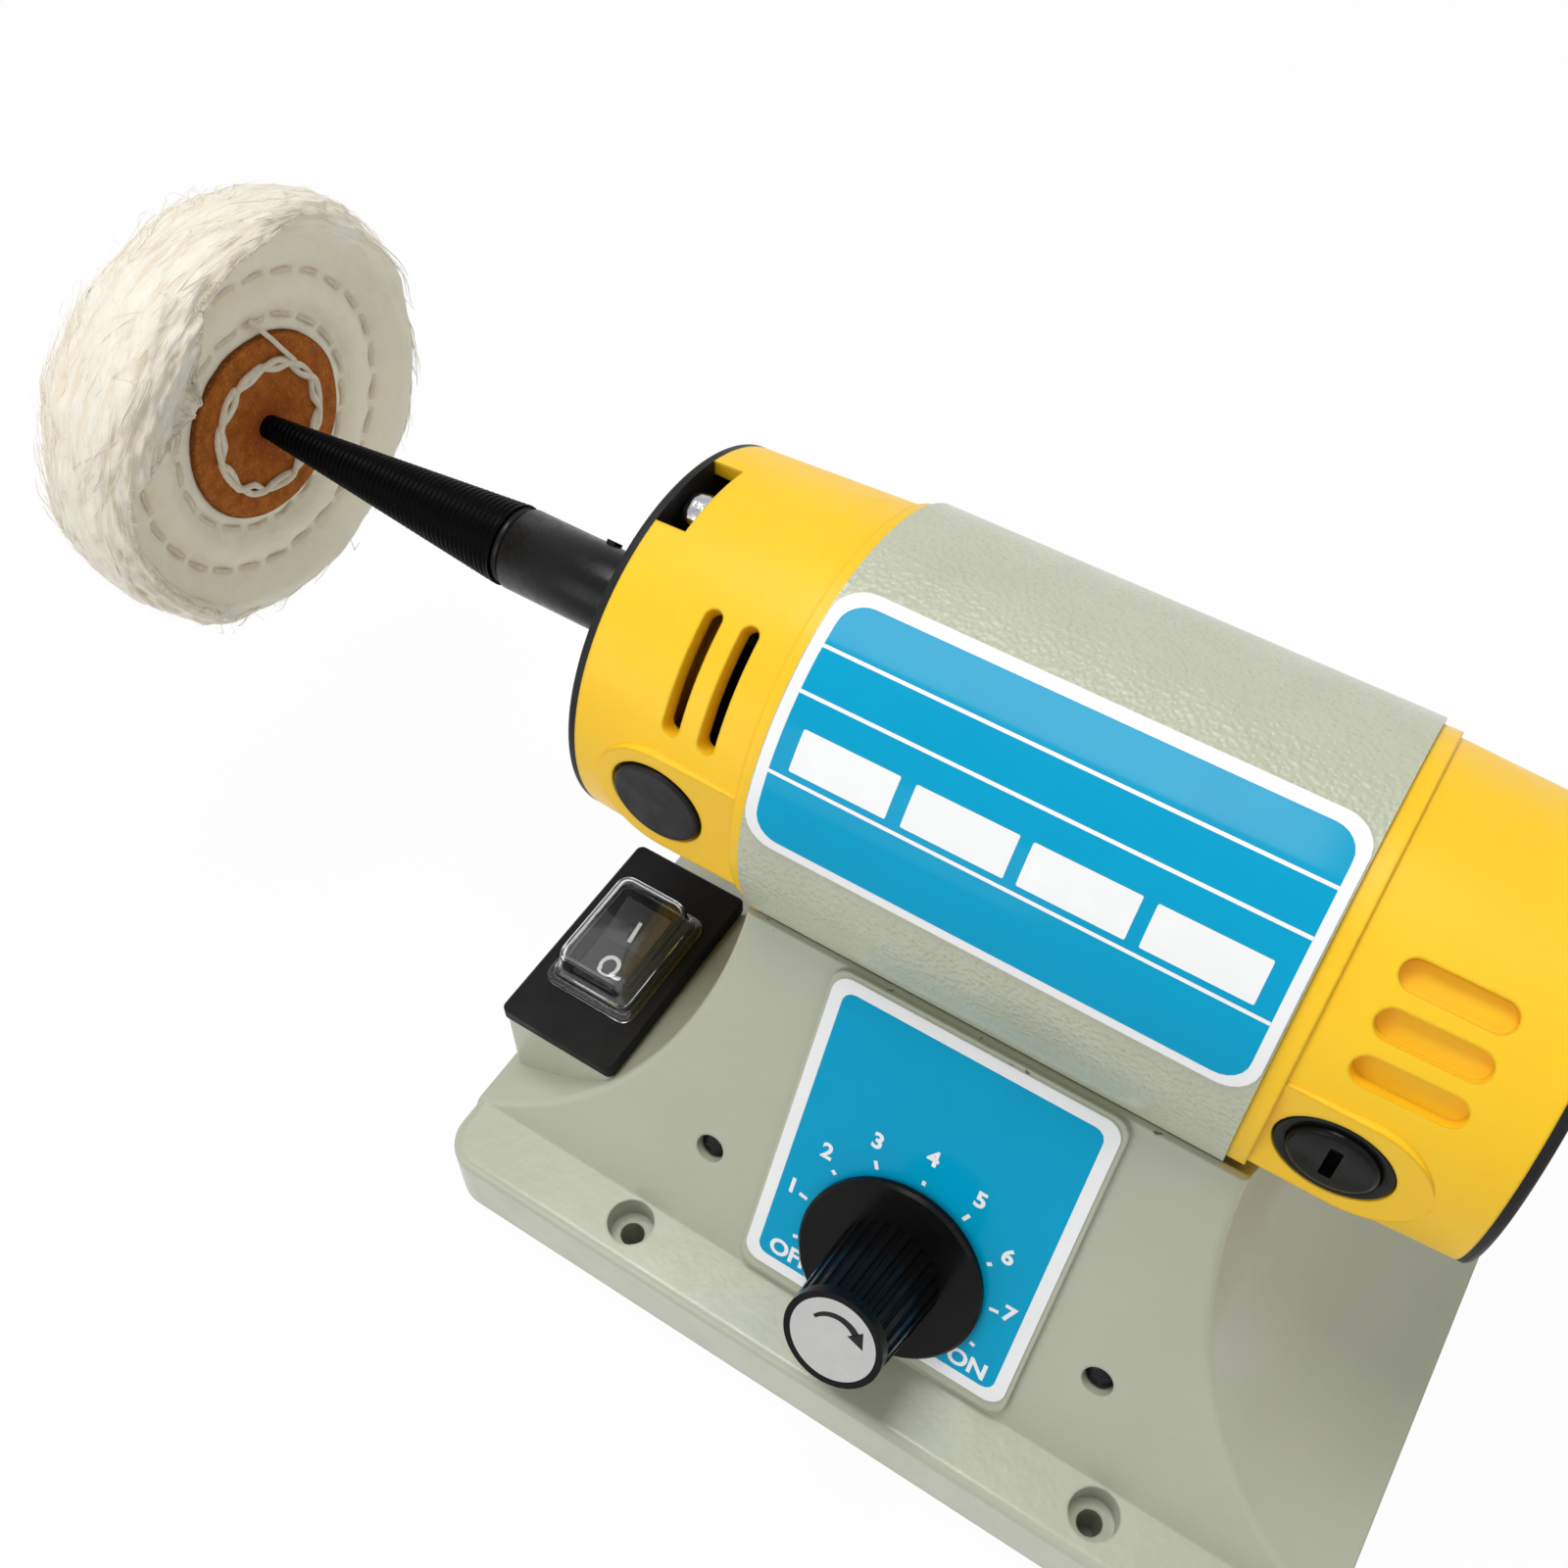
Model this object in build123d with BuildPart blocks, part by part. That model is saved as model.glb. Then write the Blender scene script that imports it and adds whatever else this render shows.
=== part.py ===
"""Bench buffer: a variable-speed polishing motor on a cast base, with a tapered spindle and a cotton buff.

Frame: the origin is the middle of the base's underside, X runs along the motor (the spindle points
to -X), the control panel faces -Y and Z is up. Lengths are in millimetres, angles in degrees.
"""

import os
from math import atan2, cos, degrees, radians, sin, tan

from build123d import *

os.makedirs("parts", exist_ok=True)

# Clearances that every fit shares
overrun = 1.0  # how far a cutter passes the face that it leaves
seat_gap = 0.15  # curved faces that seat on each other
press_gap = 0.02  # pieces pressed on the shaft
running_gap = 0.05  # journals and pins that turn
slip_gap = 0.12  # screws in their holes, sliding blocks
air_gap = 0.8  # turning parts beside fixed ones

quarter_turn = 90.0
half_turn = 180.0

# Base casting
base_length = 186.0
base_depth = 165.0
flange_height = 16.5
base_corner_r = 8.0
flange_edge_r = 2.0
flange_land = 13.5  # flat of the flange in front of each sloping face
rim_half = 35.343  # from the middle to the top edge of each sloping face
edge_round = 1.4
neck_width = 96.6  # where the scooped ends are steepest
pedestal_top = 79.8
scoop_land = 0.9  # flat left between a scoop and the end of the flange
casting_wall = 4.0
saddle_wall = 5.0
bolt_spacing_x = 101.3
bolt_edge = 8.4  # from a bench hole to the front or back of the flange
bolt_hole_r = 2.4
counterbore_r = 4.65
counterbore_depth = 6.0

# Bottom cover
cover_length = 166.0
cover_edge = 19.5  # from the cover to the front or back of the flange
cover_thickness = 1.5
cover_recess = 1.5
cover_ledge = 5.0
cover_screw_inset = 8.0
cover_screw_r = 1.4
cover_screw_length = 9.0
cover_boss_r = 5.0
screw_head_r = 2.9
screw_head_height = 1.2

# Motor barrel
axis_height = 101.0
barrel_r = 40.0
barrel_length = 90.0
barrel_wall = 4.0
barrel_centre_x = -1.6
saddle_screw_r = 2.5
saddle_screw_pitch = 56.0
saddle_head_r = 4.4
saddle_head_height = 3.0

# End caps
cap_length = 36.5
rear_cap_length = 36.7
cap_root_r = 38.0
cap_tip_r = 36.3
cap_bore_r = 33.4
cap_band_width = 2.5
cap_band_rise = 0.9
rear_band_width = 3.2
spigot_length = 5.0
end_wall = 6.0
nut_recess = 6.0
rear_recess = 5.0
hub_r = 19.0
rear_hub_r = 15.5
plate_rim = 1.8
plate_hole_gap = 1.2
plate_post_r = 4.5
plate_post_radius = 25.0
plate_screw_r = 1.5
plate_screw_length = 8.0
notch_width = 17.5
boss_r = 12.4
boss_face = 36.6  # distance of a side boss's flat from the motor axis
boss_reach = 7.6
rear_boss_shift = 2.6
brush_sleeve_wall = 3.0
plug_r = 8.7
plug_depth = 5.6
plug_offset = 17.5
plug_crown = 0.7
plug_rim_gap = 0.7
curved_vent_offsets = (18.9, 26.1)
curved_vent_width = 3.4
curved_vent_start = 28.0
curved_vent_arc = 30.0
straight_vent_length = 17.0
straight_vent_width = 5.0
straight_vent_offset = 4.4
straight_vent_floor = 1.0
straight_vent_elevations = (30.0, 42.0, 54.0)

# Tie bolts
tie_bolt_radius = 30.4
tie_bolt_r = 1.9
tie_nut_r = 4.3
tie_nut_length = 5.6
tie_head_r = 2.8
tie_head_height = 3.0

# Bearings and shaft
front_bearing_bore_r = 6.0
front_bearing_r = 14.0
front_bearing_width = 8.0
rear_bearing_bore_r = 4.0
rear_bearing_r = 11.0
rear_bearing_width = 7.0
bearing_lip = 2.0
bearing_groove = 0.6
shaft_step = 0.6

# Armature, stator and fan
core_shift = -4.0
core_length = 46.0
armature_r = 22.0
slot_count = 12
slot_width = 4.0
slot_depth = 7.0
winding_overhang = 12.0
winding_neck_r = 9.0
yoke_thickness = 5.6
pole_width = 24.0
coil_overhang = 8.0
coil_side = 7.0
commutator_r = 13.0
commutator_length = 15.0
commutator_gap = 1.3
riser_r = 14.6
riser_width = 3.0
fan_r = 25.8
fan_width = 12.0
fan_hub_r = 9.5
fan_disc = 2.0
fan_blade = 1.8
fan_blade_count = 9
fan_gap = 1.1

# Brush gear
brush_width = 7.0
brush_thickness = 6.0
brush_length = 10.0
brush_gap = 0.3
holder_r = 6.6
holder_gap = 2.2
brush_cap_r = 9.4
brush_cap_thickness = 4.0
brush_cap_dome_r = 7.2
brush_cap_dome = 0.9
brush_slot_width = 2.0
brush_slot_length = 5.0
brush_slot_depth = 2.6
spring_wire_r = 0.35
spring_turns = 4

# Spindle and buff
collar_gap = 0.6
collar_r = 8.3
collar_length = 38.0
spindle_groove = 1.6
spindle_groove_r = 7.4
taper_big_r = 8.45
taper_tip_r = 1.4
taper_length = 77.9
socket_depth = 30.0
set_screw_r = 1.6
set_screw_rise = 0.6
set_screw_offset = 20.0
set_screw_angle = 141.0
buff_r = 48.5
buff_thickness = 17.0
buff_bore_r = 2.62  # taper radius at the near face of the buff
leather_r = 20.3
leather_thickness = 2.0
buff_face_shares = ((0.43, 0.86), (0.478, 0.84), (0.58, 1.0), (0.68, 0.94), (0.8, 1.26), (0.93, 1.12))

# Control panel
pad_width = 57.6
pad_thickness = 1.2
pad_margin = 1.6
dial_label_width = 55.7
dial_label_height = 66.6
dial_label_margin = 1.0
label_thickness = 0.4
label_corner_r = 3.5
knob_up_slope = 20.2
panel_screw_pitch = 82.2
panel_screw_r = 1.5
panel_screw_head_r = 2.8
panel_screw_sink = 2.6
panel_boss_r = 5.0
rating_label_angle = 58.8
rating_label_tilt_angle = 49.0
rating_label_corner_r = 5.5
rating_label_margin = 0.4

# Potentiometer and knob
pot_r = 12.0
pot_depth = 10.0
pot_bushing_r = 3.5
pot_bushing_rise = 4.6
pot_shaft_r = 3.0
pot_shaft_rise = 16.0
pot_shaft_tail = 6.0
pot_nut_across = 11.0
pot_nut_height = 2.0
knob_gap = 0.7
skirt_r = 18.3
skirt_height = 1.8
knob_root_r = 10.4
knob_top_r = 9.5
knob_height = 23.6
knob_cap_height = 2.0
knob_pocket_r = 8.0
knob_pocket_depth = 4.6
flute_count = 24
flute_r = 0.75
knob_disc_r = 8.2
knob_disc_thickness = 0.6

# Rocker switch
switch_x = -78.6
switch_setback = 48.0  # from the front of the flange to the middle of the switch
switch_plate_width = 27.0
switch_plate_length = 48.0
switch_plate_thickness = 3.0
switch_plate_top = 39.0
switch_plate_corner_r = 1.5
boss_lip = 0.4
boss_wall = 3.0
switch_bezel_width = 17.5
switch_bezel_length = 24.5
switch_bezel_height = 2.0
switch_body_width = 14.0
switch_body_length = 22.6
switch_body_depth = 16.0
switch_well_depth = 6.6
rocker_width = 11.2
rocker_length = 18.6
rocker_tilt = 8.0
rocker_root = 4.0
rocker_crown = 1.2
rocker_side_gap = 0.2
rocker_sweep_gap = 1.0
rocker_pivot_rise = 0.6
rocker_pin_r = 1.2
rocker_pin_reach = 0.9
terminal_width = 6.3
terminal_thickness = 0.8
terminal_length = 8.0
terminal_pitch = 12.0
boot_width = 20.8
boot_length = 28.2
boot_step = 2.6
boot_dome_width = 17.8
boot_dome_length = 25.0
boot_height = 9.0
boot_wall = 0.8
boot_taper = 7.0
boot_corner_r = 3.0

# Control board and cord entry
board_margin = 6.9  # from a panel screw to the end of the board
board_height = 30.0
board_thickness = 1.6
capacitor_r = 6.0
capacitor_length = 18.0
capacitor_place_x = 24.0
heat_sink_width = 24.0
heat_sink_height = 18.0
heat_sink_length = 14.0
heat_sink_fins = 5
heat_sink_gap_width = 2.6
heat_sink_base = 3.0
heat_sink_place_x = -24.0
grommet_x = 40.0
grommet_up_slope = 14.0
grommet_r = 5.5
grommet_flange_r = 8.0
grommet_flange = 2.0
grommet_bore_r = 3.6
grommet_bore_depth = 3.5  # a thin wall is left for the cord to pierce

# Stations along the motor axis
barrel_left = barrel_centre_x - barrel_length / 2
barrel_right = barrel_centre_x + barrel_length / 2
barrel_bore_r = barrel_r - barrel_wall
spigot_r = barrel_bore_r - seat_gap
front_cap_end = barrel_left - cap_length
front_plate_face = front_cap_end - plate_rim
front_wall_out = front_cap_end + nut_recess
front_hub_face = front_wall_out + bearing_lip + front_bearing_width
rear_cap_end = barrel_right + rear_cap_length
rear_wall_out = rear_cap_end - rear_recess
rear_hub_face = rear_wall_out - bearing_lip - rear_bearing_width
fan_start = front_hub_face + fan_gap
core_left = barrel_centre_x + core_shift - core_length / 2
core_right = core_left + core_length
commutator_end = rear_hub_face - commutator_gap
commutator_start = commutator_end - commutator_length
brush_x = (commutator_start + commutator_end) / 2
shaft_r = front_bearing_bore_r - running_gap
journal_r = rear_bearing_bore_r - running_gap
collar_start = front_plate_face - collar_gap
collar_end = collar_start - collar_length
taper_start = collar_end - spindle_groove
taper_end = taper_start - taper_length
shaft_nose = collar_start - socket_depth
taper_rate = (taper_big_r - taper_tip_r) / taper_length
buff_face = taper_start - (taper_big_r - buff_bore_r) / taper_rate
buff_back = buff_face - buff_thickness
pole_bore_r = armature_r + air_gap
stator_r = barrel_bore_r - seat_gap
yoke_bore_r = stator_r - yoke_thickness
plug_x = front_cap_end + plug_offset
front_boss_run = barrel_left - cap_band_width - plug_x
rear_boss_run = brush_x - barrel_right - rear_band_width
straight_vent_x = brush_x + straight_vent_offset

# Stations of the base and of the sloping panel
bolt_spacing_y = base_depth - 2 * bolt_edge
cover_depth = base_depth - 2 * cover_edge
switch_y = switch_setback - base_depth / 2
slope_foot = base_depth / 2 - flange_land
scoop_run = base_length / 2 - scoop_land - neck_width / 2
scoop_drop = pedestal_top - flange_height
slope_angle = degrees(atan2(scoop_drop, slope_foot - rim_half))
scoop_r = (scoop_run**2 + scoop_drop**2) / (2 * scoop_run)
scoop_x = neck_width / 2 + scoop_r
cover_seat = cover_recess + cover_thickness
cavity_length = cover_length - 2 * cover_ledge
cavity_depth = cover_depth - 2 * cover_ledge
cavity_top = axis_height - barrel_r - saddle_wall
slope_length = scoop_drop / sin(radians(slope_angle))
label_face = pad_thickness + label_thickness
board_face = -casting_wall - pot_depth
board_back = board_face - board_thickness
board_width = panel_screw_pitch + 2 * board_margin
switch_boss_top = switch_plate_top - switch_plate_thickness
pivot_height = switch_plate_top + rocker_pivot_rise

motor_axis = Axis((0, 0, axis_height), (1, 0, 0))
motor_side = Plane((0, 0, axis_height), x_dir=(1, 0, 0), z_dir=(0, -1, 0))


def across(x):
    """Plane square to the motor axis: local x is Y, local y is Z and the normal is +X."""
    return Plane((x, 0, axis_height), x_dir=(0, 1, 0), z_dir=(1, 0, 0))


def radial(x, elevation, distance):
    """Plane facing away from the motor axis at a station; local x is X."""
    out = Vector(0, -cos(radians(elevation)), sin(radians(elevation)))
    return Plane(Vector(x, 0, axis_height) + out * distance, x_dir=(1, 0, 0), z_dir=out)


def section(x, elevation):
    """Plane through the motor axis at an elevation: local x is X and local y points outward."""
    turn = radians(elevation)
    return Plane((x, 0, axis_height), x_dir=(1, 0, 0), z_dir=(0, -sin(turn), -cos(turn)))


def sideways(x, distance, side):
    """Plane facing front (side 1) or back (side -1) of the motor; local x is X."""
    return Plane((x, -side * distance, axis_height), x_dir=(1, 0, 0), z_dir=(0, -side, 0))


def panel(rise, x=0, up_slope=0):
    """Plane on the front slope, raised along its normal: local x is X and local y is up the slope."""
    out = Vector(0, -sin(radians(slope_angle)), cos(radians(slope_angle)))
    up = Vector(0, cos(radians(slope_angle)), sin(radians(slope_angle)))
    foot = Vector(x, -slope_foot, flange_height)
    return Plane(foot + up * up_slope + out * rise, x_dir=(1, 0, 0), z_dir=out)


def back_panel(rise, x, up_slope):
    """The same on the back slope."""
    out = Vector(0, sin(radians(slope_angle)), cos(radians(slope_angle)))
    up = Vector(0, -cos(radians(slope_angle)), sin(radians(slope_angle)))
    foot = Vector(x, slope_foot, flange_height)
    return Plane(foot + up * up_slope + out * rise, x_dir=(-1, 0, 0), z_dir=out)


def slope_y(height, inset):
    """Half the depth between the two sloping faces at a height, for a face set back by an inset."""
    back = inset / sin(radians(slope_angle))
    return slope_foot - back - (height - flange_height) / tan(radians(slope_angle))


def slope_outline(top, inset):
    """Corners of the sloping section, from the ground to a height."""
    foot_y = slope_y(0, inset)
    top_y = slope_y(top, inset)
    return [(-foot_y, 0), (foot_y, 0), (top_y, top), (-top_y, top)]


def taper_r(x):
    """Radius of the spindle's taper at a station, no less than its tip."""
    return max(taper_big_r - (taper_start - x) * taper_rate, taper_tip_r)


# Base casting: flange, pedestal with scooped ends, switch boss, panel pad, hollow underneath
with BuildPart() as base_pedestal:
    with BuildSketch(Plane.YZ):
        with BuildLine():
            Polyline(*slope_outline(pedestal_top, 0), close=True)
        make_face()
    extrude(amount=base_length / 2, both=True)
    with BuildSketch(Plane.XZ):
        with Locations((-scoop_x, pedestal_top), (scoop_x, pedestal_top)):
            Circle(scoop_r)
    extrude(amount=base_depth, both=True, mode=Mode.SUBTRACT)
    fillet(base_pedestal.edges().filter_by(GeomType.ELLIPSE), edge_round)

with BuildPart() as base_cavity:
    with BuildSketch(Plane.XY.offset(cover_seat)):
        RectangleRounded(cavity_length, cavity_depth, base_corner_r)
    extrude(amount=cavity_top - cover_seat)
    with BuildSketch(Plane.XZ):
        with Locations((-scoop_x, pedestal_top), (scoop_x, pedestal_top)):
            Circle(scoop_r + casting_wall)
    extrude(amount=base_depth, both=True, mode=Mode.SUBTRACT)
    with BuildSketch(Plane.YZ):
        with BuildLine():
            Polyline(*slope_outline(cavity_top + overrun, casting_wall), close=True)
        make_face()
    extrude(amount=base_length, both=True, mode=Mode.INTERSECT)

with BuildPart() as base_casting:
    with BuildSketch():
        RectangleRounded(base_length, base_depth, base_corner_r)
    extrude(amount=flange_height)
    fillet(base_casting.edges().group_by(Axis.Z)[-1], flange_edge_r)
    add(base_pedestal.part)
    with BuildSketch(Plane((switch_x, switch_y, 0))):
        RectangleRounded(
            switch_plate_width - 2 * boss_lip, switch_plate_length - 2 * boss_lip, switch_plate_corner_r
        )
    extrude(amount=switch_boss_top)
    with BuildSketch(panel(0)):
        with Locations((0, (slope_length + pad_margin) / 2)):
            RectangleRounded(pad_width, slope_length - pad_margin, label_corner_r)
    extrude(amount=pad_thickness)
    add(base_cavity.part, mode=Mode.SUBTRACT)
    with BuildSketch(Plane((switch_x, switch_y, flange_height / 2))):
        Rectangle(switch_plate_width - 2 * boss_wall, switch_plate_length - 2 * boss_wall)
    extrude(amount=switch_boss_top - boss_wall - flange_height / 2, mode=Mode.SUBTRACT)
    with BuildSketch(Plane((switch_x, switch_y, switch_boss_top))):
        Rectangle(switch_body_width + 2 * slip_gap, switch_body_length + 2 * slip_gap)
    extrude(amount=-boss_wall - overrun, mode=Mode.SUBTRACT)
    with BuildSketch(Plane.XY.offset(cover_seat)):
        with GridLocations(cover_length - 2 * cover_screw_inset, cover_depth - 2 * cover_screw_inset, 2, 2):
            Circle(cover_boss_r)
    extrude(amount=flange_height - cover_seat)
    with BuildSketch(Plane.XY.offset(cover_seat)):
        with GridLocations(cover_length - 2 * cover_screw_inset, cover_depth - 2 * cover_screw_inset, 2, 2):
            Circle(cover_screw_r + slip_gap)
    extrude(amount=cover_screw_length, mode=Mode.SUBTRACT)
    with BuildSketch():
        RectangleRounded(cover_length + 2 * slip_gap, cover_depth + 2 * slip_gap, base_corner_r)
    extrude(amount=cover_seat, mode=Mode.SUBTRACT)
    with BuildSketch(panel(board_face, 0, knob_up_slope)):
        with GridLocations(panel_screw_pitch, 0, 2, 1):
            Circle(panel_boss_r)
    extrude(amount=pot_depth + casting_wall / 2)
    with BuildSketch(panel(board_face, 0, knob_up_slope)):
        Circle(pot_r + air_gap)
    extrude(amount=pot_depth, mode=Mode.SUBTRACT)
    with BuildSketch(panel(overrun, 0, knob_up_slope)):
        with GridLocations(panel_screw_pitch, 0, 2, 1):
            Circle(panel_screw_r + slip_gap)
    extrude(amount=board_face - 2 * overrun, mode=Mode.SUBTRACT)
    with BuildSketch(panel(overrun, 0, knob_up_slope)):
        with GridLocations(panel_screw_pitch, 0, 2, 1):
            Circle(panel_screw_head_r + slip_gap)
    extrude(amount=-panel_screw_sink - overrun, mode=Mode.SUBTRACT)
    with BuildSketch(panel(pad_thickness + overrun, 0, knob_up_slope)):
        Circle(pot_bushing_r + slip_gap)
    extrude(amount=-pad_thickness - casting_wall - 2 * overrun, mode=Mode.SUBTRACT)
    with BuildSketch(back_panel(overrun, grommet_x, grommet_up_slope)):
        Circle(grommet_r)
    extrude(amount=-casting_wall - 2 * overrun, mode=Mode.SUBTRACT)
    with BuildSketch(across(-base_length / 2)):
        Circle(barrel_r + seat_gap)
    extrude(amount=base_length, mode=Mode.SUBTRACT)
    with BuildSketch(Plane.XY.offset(cavity_top - overrun)):
        with Locations((barrel_centre_x, 0)):
            with GridLocations(saddle_screw_pitch, 0, 2, 1):
                Circle(saddle_screw_r + slip_gap)
    extrude(amount=saddle_wall + 2 * overrun, mode=Mode.SUBTRACT)
    with BuildSketch(Plane.XY.offset(flange_height)):
        with GridLocations(bolt_spacing_x, bolt_spacing_y, 2, 2):
            Circle(counterbore_r)
    extrude(amount=-counterbore_depth, mode=Mode.SUBTRACT)
    with BuildSketch():
        with GridLocations(bolt_spacing_x, bolt_spacing_y, 2, 2):
            Circle(bolt_hole_r)
    extrude(amount=flange_height, mode=Mode.SUBTRACT)
base_casting.part.label = "base_casting"
export_step(base_casting.part, "parts/base_casting.step")

# Bottom cover, sunk into the underside
with BuildPart() as bottom_cover:
    with BuildSketch(Plane.XY.offset(cover_recess)):
        RectangleRounded(cover_length, cover_depth, base_corner_r)
        with GridLocations(cover_length - 2 * cover_screw_inset, cover_depth - 2 * cover_screw_inset, 2, 2):
            Circle(cover_screw_r + slip_gap, mode=Mode.SUBTRACT)
    extrude(amount=cover_thickness)
bottom_cover.part.label = "bottom_cover"
export_step(bottom_cover.part, "parts/bottom_cover.step")

with BuildPart() as cover_screws:
    with BuildSketch(Plane.XY.offset(cover_recess)):
        with GridLocations(cover_length - 2 * cover_screw_inset, cover_depth - 2 * cover_screw_inset, 2, 2):
            Circle(screw_head_r)
    extrude(amount=-screw_head_height)
    with BuildSketch(Plane.XY.offset(cover_recess)):
        with GridLocations(cover_length - 2 * cover_screw_inset, cover_depth - 2 * cover_screw_inset, 2, 2):
            Circle(cover_screw_r)
    extrude(amount=cover_screw_length)
cover_screws.part.label = "cover_screws"
export_step(cover_screws.part, "parts/cover_screws.step")

# Motor barrel in its saddle, held from inside the base
with BuildPart() as motor_barrel:
    with BuildSketch(across(barrel_left)):
        Circle(barrel_r)
        Circle(barrel_bore_r, mode=Mode.SUBTRACT)
    extrude(amount=barrel_length)
    with BuildSketch(Plane.XY.offset(axis_height - barrel_r - overrun)):
        with Locations((barrel_centre_x, 0)):
            with GridLocations(saddle_screw_pitch, 0, 2, 1):
                Circle(saddle_screw_r + slip_gap)
    extrude(amount=barrel_wall + 2 * overrun, mode=Mode.SUBTRACT)
motor_barrel.part.label = "motor_barrel"
export_step(motor_barrel.part, "parts/motor_barrel.step")

with BuildPart() as saddle_screws:
    with BuildSketch(Plane.XY.offset(cavity_top)):
        with Locations((barrel_centre_x, 0)):
            with GridLocations(saddle_screw_pitch, 0, 2, 1):
                Circle(saddle_head_r)
    extrude(amount=-saddle_head_height)
    with BuildSketch(Plane.XY.offset(cavity_top)):
        with Locations((barrel_centre_x, 0)):
            with GridLocations(saddle_screw_pitch, 0, 2, 1):
                Circle(saddle_screw_r)
    extrude(amount=saddle_wall + barrel_wall - seat_gap)
saddle_screws.part.label = "saddle_screws"
export_step(saddle_screws.part, "parts/saddle_screws.step")

# Front end cap: tapered bell with the front bearing, two curved vents a side and a notch over each nut
with BuildPart() as front_end_cap:
    with BuildSketch(motor_side):
        with BuildLine():
            Polyline(
                (barrel_left, cap_bore_r),
                (barrel_left + spigot_length, cap_bore_r),
                (barrel_left + spigot_length, spigot_r),
                (barrel_left, spigot_r),
                (barrel_left, cap_root_r + cap_band_rise),
                (barrel_left - cap_band_width, cap_root_r + cap_band_rise),
                (barrel_left - cap_band_width, cap_root_r),
                (front_cap_end, cap_tip_r),
                (front_cap_end, cap_bore_r),
                (front_wall_out, cap_bore_r),
                (front_wall_out, collar_r),
                (front_wall_out + bearing_lip, collar_r),
                (front_wall_out + bearing_lip, front_bearing_r + seat_gap),
                (front_hub_face, front_bearing_r + seat_gap),
                (front_hub_face, hub_r),
                (front_wall_out + end_wall, hub_r),
                (front_wall_out + end_wall, cap_bore_r),
                close=True,
            )
        make_face()
    revolve(axis=motor_axis)
    for side in (1, -1):
        with BuildSketch(sideways(plug_x, boss_face, side)) as front_boss:
            Circle(boss_r)
            with Locations((front_boss_run / 2, 0)):
                Rectangle(front_boss_run, 2 * boss_r)
        extrude(amount=cap_root_r, mode=Mode.SUBTRACT)
        extrude(front_boss.sketch, amount=-boss_reach)
        with BuildSketch(sideways(plug_x, boss_face, side)):
            Circle(plug_r + plug_rim_gap)
        extrude(amount=-plug_depth, mode=Mode.SUBTRACT)
        for offset_x in curved_vent_offsets:
            vent_x = front_cap_end + offset_x
            lower = curved_vent_start if side == 1 else half_turn + curved_vent_start
            upper = lower + curved_vent_arc
            with BuildSketch(section(vent_x, upper)):
                with Locations((0, cap_root_r)):
                    Rectangle(curved_vent_width, 2 * (cap_root_r - cap_bore_r) + overrun)
            revolve(axis=motor_axis, revolution_arc=curved_vent_arc, mode=Mode.SUBTRACT)
            for elevation in (lower, upper):
                with BuildSketch(radial(vent_x, elevation, cap_bore_r - overrun)):
                    Circle(curved_vent_width / 2)
                extrude(amount=cap_root_r - cap_bore_r + 2 * overrun, mode=Mode.SUBTRACT)
        with BuildSketch(radial(front_cap_end, side * quarter_turn, tie_bolt_radius)):
            with Locations(((nut_recess - overrun) / 2, 0)):
                Rectangle(nut_recess + overrun, notch_width)
        extrude(amount=cap_root_r - tie_bolt_radius + overrun, mode=Mode.SUBTRACT)
    with BuildSketch(across(front_wall_out)):
        with GridLocations(2 * plate_post_radius, 0, 2, 1):
            Circle(plate_post_r)
    extrude(amount=-nut_recess)
    with BuildSketch(across(front_cap_end)):
        with GridLocations(2 * plate_post_radius, 0, 2, 1):
            Circle(plate_screw_r + slip_gap)
    extrude(amount=plate_screw_length, mode=Mode.SUBTRACT)
    with BuildSketch(across(front_wall_out)):
        with GridLocations(0, 2 * tie_bolt_radius, 1, 2):
            Circle(tie_bolt_r + slip_gap)
    extrude(amount=end_wall, mode=Mode.SUBTRACT)
front_end_cap.part.label = "front_end_cap"
export_step(front_end_cap.part, "parts/front_end_cap.step")

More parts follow.
